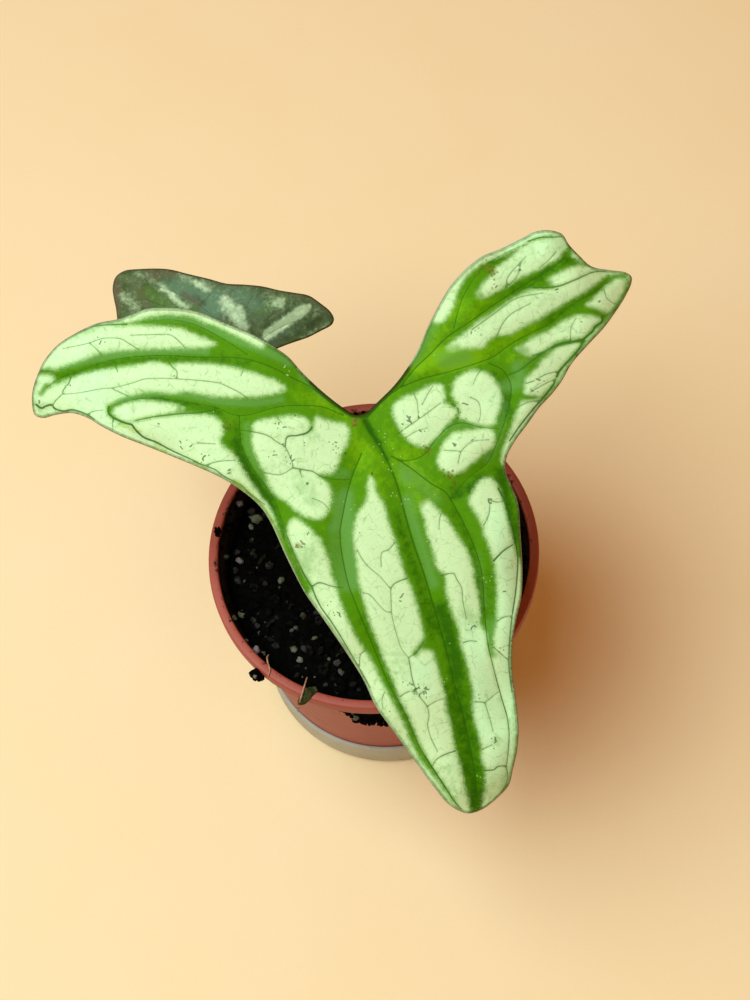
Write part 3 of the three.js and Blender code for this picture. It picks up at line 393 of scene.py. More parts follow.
        (0.45, 3.2, [(-9, 3.8), (-4, -1.5), (-1.8, -6)]), (0.4, 2.6, [(-1.6, -8), (-1.5, -12)]),
        (0.5, 3, [(2, -9.5), (3, -13), (2.6, -18)]), (0.4, 2.2, [(9, -12), (12, -16)]),
        (0.35, 2.2, [(-6.8, -21), (-6.6, -27)]),
        (0.6, 2.2, [(6, -8.5), (10, -9), (13, -8)]),
        (0.25, 3, [(4, 3), (8, 5.5)]), (0.35, 2, [(7.5, -5.5), (6, -3)]),
        (0.8, 3, [(19.6, 13.7), (24, 14.4)]),
        (-0.6, 1.2, [(-31.6, -6), (-29, -12), (-24.6, -18), (-22.6, -22)]),
        (-1.2, 1, [(0.2, -0.6), (2, -4), (4, -7), (5.6, -10)]),
        (0.55, 3.4, [(12, -14), (16, -18), (13, -20)]),
        (0.95, 2.6, [(13, 12), (17, 13.5), (22, 14.2), (27, 15)]),
        (0.55, 2.4, [(16, 18), (20, 23), (23, 27)]),
        (0.5, 2.4, [(25, 24.5), (29, 27.6)]),
        (0.6, 2.4, [(31, 17.2), (35, 19), (40, 21.6)]),
        (0.45, 2, [(35.5, 14), (38, 13)]),
        (-0.55, 1.3, [(8, -24), (11.2, -34), (14.4, -44), (16.4, -52)]),
        (-0.7, 3.6, [(22, -66), (24.5, -77), (26.4, -88), (26.6, -93)]),
        (-1, 2, [(18.4, -46), (20.6, -53), (22.4, -61)]), (-0.35, 1.5, [(30, -39), (30.4, -47)]),
        (-0.4, 1.6, [(0, -48), (4, -57), (8.5, -67), (12.5, -76)]),
        (-0.7, 1.8, [(21.4, -18.6), (24.6, -17.4), (28, -14.8)]), (-0.5, 1.5, [(34.2, 4), (33.4, 0)]),
        (-0.8, 1.7, [(32.4, -13), (33.8, -18), (35, -24), (36, -29)]),
        (-0.5, 1.1, [(-75, 9.4), (-66, 11.6), (-56, 13.8), (-46, 14.1), (-36, 13.7), (-28, 13.2)]),
        (-0.5, 1.2, [(-58, 3), (-50, 4.2), (-42, 3), (-35, 1.2)]),
        (-0.5, 1.6, [(-31, -3), (-27.6, -12.4), (-22, -20.5), (-19.5, -28)]),
        (-0.5, 1.2, [(22, -23), (25.6, -31), (27.5, -40), (28.4, -48)]),
        (-0.55, 1.6, [(36, 30), (42, 33.4), (48, 37.6), (50, 38)]),
        (-0.45, 1.6, [(44, 23), (50, 26.4), (56, 30.4)]),
        (-0.5, 1.4, [(29, 36.5), (34, 39), (39, 41.5)]),
        (-0.4, 1.6, [(31, 10.5), (33.6, 7), (34.4, 1)]),
        (0.5, 2, [(-16, 5.4), (-11, 4.2)]),
        (-0.6, 1, [(-14, 10.4), (-9, 5.6), (-4, 1.8)]),
    ],
    # Painted sheen: bluish strokes where the sides of the green bands reflect the soft light
    painted_sheen=[
        (1, 1.2, [(-73, 12.2), (-66, 13.8), (-56, 15.5), (-46, 16), (-38, 15.8)]),
        (0.9, 1.3, [(-54, 23.8), (-48, 24), (-42, 23.2), (-36, 20.8), (-30, 18.2), (-24, 16), (-18, 13.2)]),
        (0.9, 1.2, [(-58, 4.4), (-50, 5.9), (-42, 5.3), (-34, 3.8), (-27, 3.4), (-20, 4.4)]),
        (0.7, 1.2, [(-28.2, -2), (-28, -7), (-25.6, -12.2), (-22, -17.6)]),
        (1, 2.4, [(-4.4, -19), (-3.8, -26), (-3.4, -34), (-2.6, -40)]),
        (0.5, 1.8, [(-8, -27), (-7.4, -34), (-5.8, -41)]),
        (0.8, 1.8, [(10.4, -20), (12.6, -27), (14.6, -33), (16.8, -40)]),
        (0.6, 2.6, [(12, -14), (17, -20)]), (0.5, 1.6, [(9, -12), (10, -15)]),
        (0.45, 1.6, [(27.6, -33), (29, -45)]),
        (0.9, 2, [(34.2, 7.4), (37.4, 8.4), (37, 12)]),
        (0.6, 1.5, [(33.8, 3), (32.6, -4), (29.6, -10)]),
        (0.6, 1.6, [(16, -6.4), (19.6, -3.4), (23.4, -1.8), (28, -2.4)]),
        (0.7, 1.8, [(12, 13.5), (15, 19), (17.5, 23)]),
        (0.5, 1.4, [(-7.2, -20), (-6.9, -26)]), (0.65, 3, [(19.6, 13.8), (24, 14.6)]),
        (0.5, 1.6, [(40, 14), (46, 17.6)]),
        (0.7, 1.6, [(-7, -13.4), (-4.6, -13.6)]),
        (0.7, 2.4, [(31, -50), (30.6, -53)]),
        (0.6, 1.4, [(-15, 10), (-9.5, 5)]),
    ],
    dull=[
        (0.9, 0.9, [(63.8, 32), (60.4, 25.8), (54.4, 18.4), (48, 10.6), (44, 4.6), (38, -2.6), (34.4, -9)]),
        (0.25, 3, [(-19, -4), (-15, -16), (-13, -20)]), (0.5, 2.4, [(-15.1, -16.3), (-13, -19)]),
        (0.35, 3, [(-22, -11)]), (0.4, 2.4, [(40, 28), (45, 29)]),
        (0.55, 3, [(-12, -31), (-13.5, -35)]), (0.4, 3, [(36, 36), (40, 40)]),
        (0.15, 4, [(-45, -4), (-36, -9)]),
        (0.9, 1, [(36, -60), (36.2, -68), (36.4, -76), (35.6, -83), (33.6, -89.4)]),
        (0.6, 2.2, [(-79, 8), (-79, 3), (-76, 1)]),
        (0.9, 1.1, [(-69, 19.4), (-62, 22.6), (-58, 23.2)]),
        (0.8, 2, [(26.2, -49.5), (24.6, -47)]),
        (0.8, 1.4, [(31.8, -77.9)]),
        (0.6, 1.6, [(-13.2, -2.6), (-12.2, -5)]),
        (0.5, 3.4, [(7.6, -56), (8.2, -60)]),
        (0.5, 3, [(20, -84), (21.6, -90)]),
        (0.5, 2.4, [(31.4, -87), (31, -91)]),
        (0.4, 3, [(-15, -34), (-12, -44)]),
        (0.5, 1, [(-9, -48.6), (-3, -58), (4, -70), (12, -81.4), (17, -88), (22, -93)]),
        (0.7, 1, [(-28, -17.8), (-22, -24.6), (-17, -35), (-13, -43)]),
        (0.5, 2.6, [(47, 41), (48.6, 42)]),
        (0.5, 1.4, [(34, 28.2), (40, 31.2)]),
        (0.4, 2.6, [(33, 26.8), (28, 22)]),
        (0.5, 1.2, [(40.6, 18.6), (45, 20.9), (49, 22.8)]),
    ],
    # Mint strokes: partly the pale patches' own mint tone, partly painted light; on the blade's right-hand
    # parts they cool the pale colour to offset the warmer, weaker light that falls there
    mint_and_painted_light=[
        (0.6, 9, [(-76, 8), (-68, 14), (-64, 4)]),
        (0.8, 4, [(36, 42.4), (44, 44)]),
        (0.8, 3, [(35, -50), (35, -62), (34.4, -78)]), (0.85, 3.4, [(32, -24), (34, -35), (34, -48)]),
        (0.9, 3.2, [(26, -50), (28, -62), (28.6, -74)]),
        (0.7, 4, [(13.6, -60), (12.6, -64)]),
        (0.5, 3, [(30.5, 3), (32, 6)]),
        (0.5, 5, [(30, -80), (32, -86)]),
    ],
    stain=[
        (0.9, 0.5, [(-1.8, -0.6), (-2.6, -1.6)]), (0.8, 1.3, [(-2.4, -1)]),
        (0.8, 0.8, [(29.6, 35.6), (31.4, 34.9)]), (0.7, 0.8, [(28.6, 36.2)]),
        (0.8, 0.7, [(-15.4, -30.8)]), (0.5, 1, [(-16.4, -30.2)]),
        (0.4, 0.9, [(18.6, -13), (22.4, -14)]), (0.45, 0.8, [(14.8, -8.2)]),
        (0.4, 1.2, [(-31.6, -2)]),
    ],
    # Yellow-green blotches beside the margin
    lime=[
        (0.6, 1, [(-58.4, -1.6), (-54, -3.4)]), (0.55, 1, [(-50, -6.4), (-47.6, -8)]),
        (0.7, 0.8, [(-40, -11.2), (-37.8, -12.4)]), (0.5, 0.9, [(-34.6, -14.4), (-29, -18)]),
        (0.9, 1, [(-31, -15.6), (-25, -21.6), (-20.6, -29), (-17.6, -36)]),
        (0.6, 0.8, [(34, -13), (35.4, -18)]),
    ],
    # Where a pale patch fades softly into the green
    veil=[
        (0.9, 1.6, [(-20.5, 16.6), (-23, 16.8)]), (0.8, 1.5, [(18.4, 21.6)]),
        (0.6, 1.4, [(20.6, 16.2), (22.4, 16.8)]), (0.5, 0.8, [(1, -15)]),
        (0.7, 1.2, [(28, 29.2)]), (0.6, 1.2, [(14, -20.8)]), (0.6, 1.4, [(37.4, 16.2), (39, 16)]),
        (0.7, 1.2, [(-75.4, 11.4), (-77.4, 10.8)]), (0.7, 0.9, [(-76.2, 7.6), (-77.4, 5.6)]),
        (0.5, 1.2, [(49.6, 41), (52, 38.4)]), (0.7, 1, [(-44.4, 1.9)]), (0.6, 1.4, [(-16.6, -37)]),
        (0.5, 1.2, [(31.8, -57)]), (0.6, 1.2, [(44.8, 32.4)]), (0.5, 1, [(-20, 6.6)]),
    ],
    # Groups of small marks: place, spread and count
    dots=[
        ((-20.5, -2.5), 0.9, 6), ((-17.4, -9.4), 0.9, 9), ((-18.6, -7), 0.5, 3), ((-22.2, -8.8), 1.2, 4),
        ((-6, -7), 0.8, 7), ((-8.3, -5.2), 1.2, 3), ((-7.1, -12), 0.5, 3), ((-14.1, -7), 0.5, 2),
        ((-77.8, 3.8), 0.6, 6), ((-63.4, 17.7), 0.6, 5), ((-42.6, -6.4), 1.1, 8), ((-38.2, -9.3), 0.7, 9),
        ((-32.2, -13.2), 0.6, 6), ((-70.6, 8), 0.7, 3), ((10.9, -0.7), 0.8, 9), ((12.9, 0.8), 0.6, 6),
        ((13.6, -3.4), 0.4, 4), ((22.6, 1.5), 0.9, 7), ((24, 3.5), 0.5, 4), ((31, 31.5), 0.5, 4),
        ((46.6, 30.2), 0.3, 3), ((27, 20.3), 0.7, 5), ((56.6, 27.9), 0.2, 2), ((52.1, 22.8), 0.2, 2),
        ((42, 8.8), 0.6, 5), ((40.8, 5.6), 0.8, 3), ((30.3, -20.2), 0.5, 8), ((26.6, -5.7), 0.5, 2),
        ((9.7, -1.9), 0.4, 2), ((-6.3, -47.4), 0.5, 6), ((-8.3, -44.7), 0.3, 2), ((8.6, -43.1), 0.8, 6),
        ((12.1, -65), 0.6, 7), ((14.9, -65.8), 0.7, 8), ((12.8, -67), 0.5, 3), ((26.1, -49.9), 0.7, 7),
        ((33.8, -42.1), 0.3, 3), ((31.8, -78), 0.7, 6), ((33.2, -56.5), 0.7, 5), ((10.3, -63.8), 0.5, 3),
        ((-13.5, -27.5), 0.3, 2), ((8, -71), 2.5, 5), ((27.3, -67.1), 0.3, 2), ((-46.5, 20.7), 0.1, 2),
        ((-45.6, 9.9), 0.1, 2), ((-34.6, 8.2), 0.1, 2), ((-49.3, -1.6), 0.15, 2), ((-16.7, 0.2), 0.15, 3),
        ((-13.8, -16.2), 0.25, 4), ((2, -13.6), 0.15, 2), ((37.4, 35.4), 0.15, 3), ((-1, -27.8), 0.1, 1),
        ((21.6, -6.3), 0.2, 3), ((22, -6.9), 0.15, 3),
    ],
    rust=[
        ((-32.8, -1.7), 1, 8), ((15.4, -8.3), 0.9, 9), ((21, -13.7), 1.3, 14), ((-15.4, -30.5), 0.7, 8),
        ((30.3, 35.5), 1.2, 12), ((-2.4, -1.2), 0.8, 6),
    ],
    lint=[
        ((6.5, -9.5), 3.4, 11), ((9.3, -20), 3, 8), ((22, -8), 5, 5), ((-19, 11.5), 1.2, 6),
        ((-27, 8), 0.4, 2), ((28.5, -39), 1.6, 4), ((17, -35), 4, 5), ((4.4, -4.6), 1, 3),
        ((20, 13), 5, 5), ((-35, 6), 5, 4), ((20, -62), 4, 4), ((26, -85), 1.5, 3), ((-4, -22), 2, 3),
    ],
    rib_widths=[0.3, 0.2, 0.2, 0.16, 0.12, 0.14, 0.13, 0.2, 0.13, 0.17, 0.16, 0.17],
    # Where the margin is dark, round the stalk
    shade=[(1.3, 3.4, [(-11, 7), (-5, 2.3), (0, 0.9), (3, 3.4), (9, 10)])],
)

SMALL_LEAF = dict(
    junction=(-25.4, 45.2, 112), eye=(34.5, -37.1, 482),
    rise=2, rise_reach=9, pillow=0.7, pillow_reach=2.6, edge_drop=1,
    wave=0.8, wave_reach=7, curl=(90, 0),
    sag=[((-0.906, 0.423), 38, 17), ((0.92, 0.4), 25, 4), ((0.2, -0.98), 26, 6)],
    outline=[
        (1, 0), (5, 1.5), (9, 3.3), (12.7, 4.7), (16.5, 6), (19.9, 7.7), (22.9, 9.4), (23.5, 10.9),
        (22.5, 12.9), (20, 15), (16.8, 17.1), (13.2, 17.8), (8.9, 18.5), (4.7, 19.5), (0, 20),
        (-5, 20.3), (-9.5, 21.5), (-15, 22.8), (-20.6, 24.1), (-28.3, 24.1), (-32, 23.6), (-34.2, 22),
        (-35, 19.2), (-34.7, 16.4), (-34.1, 13.5), (-33.6, 10), (-31.5, 5), (-27, -0.5), (-22.5, -5.5),
        (-18, -10.5), (-13, -16), (-8, -21), (-3, -24.5), (1.5, -26.3), (5.5, -26), (7.5, -23.5),
        (7.3, -19.5), (6, -15), (3.6, -9), (1.2, -3.4),
    ],
    ribs=[
        [(-1, 0.2), (-8, 4.5), (-16, 8.5), (-24, 12), (-31, 15.5)],
        [(-2.4, 3.4), (-5.4, 8), (-12, 14.5), (-20, 18.5), (-27, 20.5)],
        [(-4.5, -0.6), (-10, -1.3), (-18.4, -0.3), (-26, 3.4)],
        [(1, 2), (5, 6), (11, 9.5), (17, 11), (20.5, 11)],
        [(-1, -3.4), (-1.4, -7.7), (-0.4, -14.5), (2.2, -20)],
    ],
    patches=[],
    bands=[],
    rib_widths=[0.16, 0.14, 0.14, 0.14, 0.14],
    veins=[
        (0.2, [(-8, 4.5), (-9, 8), (-14, 11.5)]), (0.2, [(-16, 8.5), (-19, 13), (-26, 16)]),
        (0.2, [(-14, 7.6), (-19, 6), (-27, 7)]), (0.2, [(5, 6), (6, 11), (12, 15)]),
        (0.2, [(-10, -1.3), (-12, -7), (-17, -9)]), (0.2, [(-1.4, -7.7), (-6, -13), (-8, -18)]),
        (0.2, [(-0.4, -14.5), (4, -17), (5.4, -20)]), (0.2, [(-12, 14.5), (-9, 18), (-12, 21)]),
        (0.2, [(-5.4, 8), (-1, 12), (2, 17)]),
    ],
    streak=[
        (0.35, 1.2, [(-28, 22.6), (-25, 21.4), (-21.7, 19.2)]), (0.65, 0.9, [(-21.7, 19.2), (-19.4, 17.2)]),
        (0.85, 0.95, [(-19, 17), (-17.4, 15.2), (-15.4, 14)]),
        (0.5, 1.3, [(-16.8, 22.3), (-14.2, 21.2), (-11.9, 20.1), (-9.9, 18.9)]),
        (0.5, 0.9, [(-12.4, 20), (-10.4, 18.8)]),
        (0.9, 1.6, [(-5.3, 16), (-3.9, 14.6), (-2.4, 12.6), (-1.3, 10.5), (-0.4, 9.1)]),
        (0.4, 1.4, [(-5.6, 13.6), (-3.4, 11)]), (0.5, 0.8, [(-1, 14), (-0.4, 12)]),
        (0.35, 0.8, [(5.4, 17.5), (7.1, 16.6)]), (0.65, 1, [(8, 14.9), (9.2, 15.6), (9.4, 14.4)]),
        (0.3, 1.6, [(6, 14.4), (11, 16)]),
        (2.2, 1.2, [(5.9, 6.8), (8.8, 8.8), (11.7, 10.9), (14.6, 12.9)]),
        (1.2, 0.9, [(14.6, 12.9), (16.6, 14.1)]),
        (0.55, 1.7, [(-31.8, 16.9), (-29.8, 14.9), (-28.9, 13.7)]),
        (0.5, 0.8, [(15.2, 5.9), (18.6, 7.9), (21.5, 9.1)]), (0.35, 0.8, [(19, 13.6), (18, 11.4)]),
        (0.7, 1.1, [(-24, 4), (-18, 3.2), (-12, 3.6)]), (0.7, 1.1, [(-20, -6), (-14, -5), (-7, -3.4)]),
        (0.7, 1.2, [(-9, -17), (-6, -12), (-4, -7)]), (0.6, 1.1, [(3, -20), (3.4, -14), (2, -8)]),
        (0.5, 1, [(-15, 10.8), (-21, 13)]),
    ],
    teal=[
        (0.8, 3.4, [(-19, 20), (-14, 18), (-9, 16)]), (0.7, 3, [(-9, 12), (-2, 17), (4, 14)]),
        (0.3, 3, [(13, 15), (19, 12)]), (0.4, 2, [(8, 6.4), (14, 8)]),
        (0.5, 3, [(-12, -3), (-6, -10)]),
    ],
    dusk=[
        (0.5, 1.3, [(-24, 19.6), (-20, 21)]), (0.6, 0.8, [(6.4, 9.8), (10, 12.4), (13, 14.6)]),
        (0.6, 1.1, [(-10.6, 15), (-13, 17)]), (0.5, 1.1, [(18, 10), (20, 11)]),
        (0.55, 0.9, [(8, 5), (13, 7), (18, 10)]), (0.5, 2, [(-30, 10), (-25, 12)]),
    ],
    warm=[
        (0.6, 2, [(-25, 22.6), (-18, 22.8)]), (0.8, 1.8, [(-34, 20), (-34, 14)]),
        (0.7, 1.2, [(-16, 17.4), (-12, 15)]), (0.8, 0.9, [(-5.4, 15.9), (-4.6, 17)]),
        (0.4, 1.4, [(12, 17.6), (18, 15.6), (21, 12.6)]), (0.5, 2, [(-28, 19), (-26, 15)]),
    ],
    leafy=[(0.9, 2.6, [(-26, 17.6), (-23, 16), (-20.4, 14)]), (0.6, 1.6, [(-16, 14.6), (-13, 13.6)]),
           (0.6, 2, [(4, 13), (10, 16)]), (0.5, 1.4, [(12, 4.8), (16, 6.4)])],
)

# Leaf stalks: path, and radius at foot and top
BIG_STALK = dict(
    path=[(2.6, 5.2, 72.5), (2.6, 5.6, 77), (3.2, 8.5, 92), (3.4, 12, 110), (2.9, 13.4, 124),
          (2.8, 10.9, 133.2), (2.84, 7, 141.7)],
    radii=(1.9, 1.3),
)
SMALL_STALK = dict(
    path=[(-2.2, 7, 72.5), (-2.7, 8.4, 77), (-7, 17, 88), (-14, 31, 97), (-21.3, 43.6, 101.4),
          (-25, 47.7, 105.4), (-25.4, 45.5, 111.2)],
    radii=(1.5, 1.05),
)
STALK_SIDES = 24
STALK_SHEATH = 0.35
STALK_COLLAR = 0.12

# Stem: half profile of radius and height, and the height of its leaf scar
STEM_PROFILE = [
    (0, 66.5), (4.9, 66.8), (5.3, 68), (6.1, 70), (6.3, 71.8), (6.25, 73.2), (5.7, 75), (4.9, 76.1),
    (3, 77.1), (0, 77.4),
]
STEM_SIDES = 96
SCAR_HEIGHT = 71.6

# Perlite seen in the photograph: x, y, size, how clean it is and how much it leans to lilac
PERLITE = [
    (-31, 18.7, 1.5, 0.6, 0.1), (-32.7, 16.8, 0.8, 1, 0.4), (-34.5, 24.1, 0.9, 0.45, 0.8),
    (-36.9, 6.7, 0.95, 0.8, 0.9), (-38.3, 4, 0.9, 0.12, 0.9), (-39.9, 8.9, 0.8, 0.2, 0.1),
    (-26.4, -0.6, 0.9, 0.55, 0.1), (-27.1, -2.6, 0.4, 0.3, 0.2), (-26.3, -5.2, 0.35, 0.3, 0.6),
    (-38.2, -8.5, 1.1, 0.75, 0.1), (-39.8, -9.3, 0.7, 0.4, 0.2), (-35.3, -10.8, 0.8, 0.18, 0.8),
    (-34.5, -12.7, 0.8, 0.2, 0.8), (-34.1, -14.8, 0.6, 0.3, 0.7), (-35, -19.4, 1.05, 1, 0.9),
    (-33.9, -20.8, 0.7, 0.7, 0.9), (-37.6, -16.5, 0.65, 0.35, 0.9), (-25.4, -21.5, 1, 0.55, 0.1),
    (-24.1, -24.8, 0.9, 0.8, 0.5), (-19.2, -19.6, 0.75, 0.5, 0), (-21.5, -12.5, 0.9, 0.3, 0),
    (-25.2, -16.2, 0.6, 0.35, 0.4), (-24, -15.6, 0.6, 0.4, 0.4), (-14.2, -27.6, 0.9, 0.32, 0.8),
    (-13.5, -30.3, 0.9, 0.4, 0.6), (-17.6, -29.2, 0.65, 0.28, 0.7), (-16.3, -26.1, 0.5, 0.4, 0.1),
    (-18.2, -32.8, 0.65, 0.28, 0.6), (-15.1, -32.7, 0.7, 0.2, 0.6), (-24.1, -29.4, 0.25, 0.7, 0.5),
    (-20.8, -30, 0.25, 0.7, 0.5), (-33, 12.9, 0.75, 0.2, 0.3), (-33, 9.1, 0.9, 0.14, 0.5),
    (-29, 4.2, 1.1, 0.12, 0.9), (-38, 0.9, 1.1, 0.12, 0.9), (-20.8, -23.4, 0.6, 0.15, 0.4),
]
HIDDEN_PERLITE = 16
FINE_PERLITE = 14
# Height above the soil of a grain that sticks to the lip's inside
STUCK_RISE = 6

# Soil that clings to the pot's inner wall: the crumbs' count, highest place and depth
WALL_CRUMBS = 200
WALL_CRUMBS_TOP = 76.6
WALL_CRUMBS_DEPTH = 7

# Crumbs on the lip: x, y, z, spread and count
LIP_CRUMBS = [
    (3.4, 41.5, 77.6, 0.5, 8), (1, 41.6, 77.6, 0.5, 5), (-41, 13, 77.9, 0.4, 16), (-41.2, 11.8, 77.9, 0.3, 5),
]

# Soil that hangs from the lip's outside: lumps (place, size, stretch) among crumbs round a middle
HANGING_LUMPS = [((-35.8, -28.9, 75.2), 1.6, (1, 1, 1.4)), ((-35, -29.6, 74.4), 1.2, (1, 1, 1.2))]
HANGING_MIDDLE = (-35.5, -28.9, 75)
HANGING_SPREAD = (0.6, 0.6, 1.2)
HANGING_CRUMBS = 22

# Smear of soil on the wall: the crumbs' count, its middle and half its size
SMEAR_CRUMBS = 362
SMEAR_ANGLE = -99
SMEAR_SPREAD = 13
SMEAR_HEIGHT = 60
SMEAR_REACH = 12.6

# Perlite on the pot's outside: place, size, stretch and roughness
STRAY_PERLITE = [((-11.6, -40.3, 60.4), 0.9, (1.1, 0.8, 0.9), 0.5), ((-36, -30.2, 77), 0.6, (1, 1, 1), 0.4)]

# Green flake over the lip: path, and its widths at shares of the path
FLAKE = [(-20.2, -36.8, 78.5), (-22.6, -37.9, 78.6), (-24.4, -38.9, 77.2), (-25.6, -38.4, 73.8),
         (-26.1, -37.6, 70.6)]
FLAKE_SHARES = (0, 0.12, 0.35, 0.75, 1)
FLAKE_WIDTHS = (1.4, 2.8, 2.7, 1.5, 0.3)
FLAKE_THICKNESS = 0.16
FLAKE_CURL = 0.12
FLAKE_COLUMNS = 5

# Root fibres over the lip: paths, and their radii at shares of the path
FIBRES = [
    [(-22.4, -32.6, 76.6), (-22.9, -34.4, 78.2), (-23.9, -36.9, 78.6), (-24.9, -38.6, 77.4),
     (-25.4, -38.3, 74), (-25.9, -37.5, 69), (-26.6, -36.8, 64), (-27.1, -36, 60)],
    [(-31.9, -24.2, 75.4), (-32.2, -25.8, 77.6), (-32.1, -27.4, 78.4), (-31.8, -29.4, 78.4),
     (-32.4, -31, 78.3)],
]
FIBRE_SHARES = (0, 0.3, 1)
FIBRE_RADII = (0.2, 0.27, 0.14)
FIBRE_SIDES = 8

# Floor and studio light, in metres
FLOOR_REACH = 3
FLOOR_STEPS = 12
KEY_PLACE = (-0.31, -0.05, 0.84)
KEY_AIM = (0, 0, 0.03)
KEY_SIZE = 0.66
KEY_POWER = 7.3
KEY_COLOR = (0.83, 1, 0.98)
SKY_COLOR = (1, 0.45, 0.15, 1)
SKY_POWER = 0.38

# Colours of the large blade, as the eye reads them on a screen
PALE = (208, 243, 190)
PALE_DULL = (174, 218, 156)
PALE_MINT = (204, 250, 198)
PALE_FRINGE = (178, 224, 134)
PALE_SPECK = (140, 180, 100)
GREEN = (80, 141, 4)
# Painted shade and painted light on the green bands: deeper green in their shaded valleys, brighter green on
# their lit sides
GREEN_PAINTED_SHADE = (46, 102, 0)
GREEN_PAINTED_LIGHT = (114, 174, 4)
# Painted sheen: a bluish green for the bands' reflecting sides
GREEN_PAINTED_SHEEN = (98, 157, 68)
GREEN_FLECK = (150, 195, 90)
LIME = (158, 196, 42)
RIB = (40, 94, 0)
VEIN_PALE = (98, 140, 76)
VEIN_DARK = (62, 100, 44)
VEIN_FAINT = (128, 170, 98)
VEIN_GREEN = (46, 106, 14)
SPECK = (38, 62, 30)
RUST = (104, 88, 34)
LINT = (206, 230, 172)
STAIN = (124, 116, 44)
MARGIN_LINE = (74, 112, 52)
# Painted highlight: the thin pale line along the blade's edge
MARGIN = (176, 196, 164)
SHADED_LINE = (44, 76, 4)
SHADED_MARGIN = (48, 46, 20)
UNDERSIDE = (150, 185, 120)
UNDERSIDE_GREEN = (112, 155, 84)
UNDERSIDE_RIB = (176, 205, 140)

# Colours of the dark blade; each tone has its colour and how far noise frays it
DARK_LOW = (62, 84, 48)
DARK_HIGH = (90, 112, 74)
DARK_TONES = {
    "teal": ((86, 122, 92), 0.35),
    "leafy": ((74, 110, 42), 0.25),
    "warm": ((92, 84, 66), 0.4),
    "dusk": ((48, 68, 38), 0.35),
}
DARK_VEIN = (40, 64, 26)
DARK_SILVER = (196, 226, 184)
DARK_ASH = (140, 160, 128)
DARK_PIT = (52, 60, 36)
DARK_RIB = (40, 66, 24)
DARK_MARGIN = (78, 76, 50)
DARK_UNDER_LOW = (82, 112, 64)
DARK_UNDER_HIGH = (100, 132, 78)

# Other colours: plastics as main, dark, worn and dust, stalks as green, dark and pale
DISH_COLORS = ((188, 193, 184), (168, 171, 160), (212, 215, 204), (112, 104, 90))
POT_COLORS = ((170, 82, 68), (156, 68, 56), (190, 108, 92), (92, 48, 38))
# Pot wall below the lip: painted shade, darker than the lip
POT_WALL_SHADED_COLORS = ((150, 60, 56), (162, 70, 66))
FILM_AND_SHADE_COLORS = ((5, 4, 3), (34, 22, 16))
STALK_COLORS = ((96, 128, 56), (58, 88, 30), (140, 160, 96))
STEM_COLORS = ((110, 128, 64), (70, 84, 36), (150, 150, 104))
CHALK_GREEN = (118, 126, 100)
CHALK_LILAC = (128, 120, 128)
CHALK_STAINED = (16, 17, 12)
PAPER = (253, 232, 193)
PAPER_DEEP = (252, 230, 188)
PAPER_FIBRE = (244, 216, 168)


def tint(color):
    """Linear colour of a screen colour given as 0 to 255."""
    linear = [c / 255 / 12.92 if c <= 10 else ((c / 255 + 0.055) / 1.055) ** 2.4 for c in color]
    return (*linear, 1)


# Materials

class Paint:
    """One material, built from nodes around its Principled shader."""

    def __init__(self, name):
        self.material = bpy.data.materials.new(name)
        self.material.use_nodes = True
        self.tree = self.material.node_tree
        self.shader = self.tree.nodes["Principled BSDF"]

    def feed(self, socket, value):
        if isinstance(value, bpy.types.NodeSocket):
            self.tree.links.new(value, socket)
        else:
            socket.default_value = value

    def node(self, kind, inputs, **settings):
        node = self.tree.nodes.new("ShaderNode" + kind)
        for name, value in settings.items():
            setattr(node, name, value)
        for name, value in inputs.items():
            self.feed(node.inputs[name], value)
        return node

    def math(self, operation, *values):
        return self.node("Math", dict(enumerate(values)), operation=operation).outputs[0]

    def between(self, value, low, high):
        """0 at low, 1 at high and a smooth step between them; low may be the greater one."""
        inputs = {"Value": value, "From Min": low, "From Max": high}
        return self.node("MapRange", inputs, interpolation_type="SMOOTHSTEP").outputs["Result"]

    def about(self, value, low, high):
        """A 0 to 1 value spread between low and high."""
        return self.math("MULTIPLY_ADD", value, high - low, low)

    def mix(self, factor, first, second):
        return self.node("Mix", {0: factor, 6: first, 7: second}, data_type="RGBA").outputs[2]

    def laid(self, color, shade, factor, strength=None):
        """A colour with a screen colour laid over it, where strength weakens the factor."""
        if strength is not None:
            factor = self.math("MULTIPLY", factor, strength)
        return self.mix(factor, color, tint(shade))

    def number(self, name):
        return self.node("Attribute", {}, attribute_name=name).outputs["Fac"]

    def ragged(self, name, field, spread):
        """A stored number, frayed by a field of noise."""
        return self.math("ADD", self.number(name), self.about(field, -spread, spread))

    def place(self):
        """Where a point lies, in metres."""
        return self.node("TexCoord", {}).outputs["Object"]

    def stretched(self, place, scale):
        return self.node("Mapping", {"Vector": place, "Scale": scale}).outputs["Vector"]

    def shifted(self, place, scale, reach):
        """The same place, pushed about by noise."""
        push = self.node("TexNoise", {"Vector": place, "Scale": scale}).outputs["Color"]
        inputs = {0: push, 1: (reach, reach, 0), 2: place}
        return self.node("VectorMath", inputs, operation="MULTIPLY_ADD").outputs[0]

    def noise(self, place, scale, detail=2, roughness=0.5):
        inputs = {"Vector": place, "Scale": scale, "Detail": detail, "Roughness": roughness}
        return self.node("TexNoise", inputs).outputs[0]

    def cells(self, place, scale, feature="F1"):
        return self.node("TexVoronoi", {"Vector": place, "Scale": scale}, feature=feature).outputs["Distance"]

    def bump(self, height, distance):
        node = self.node("Bump", {"Strength": 1, "Distance": distance, "Height": height})
        self.feed(self.shader.inputs["Normal"], node.outputs["Normal"])

    def finish(self, color, roughness, gloss):
        self.feed(self.shader.inputs["Base Color"], color)
        self.feed(self.shader.inputs["Roughness"], roughness)
        self.shader.inputs["Specular IOR Level"].default_value = gloss
        return self.material


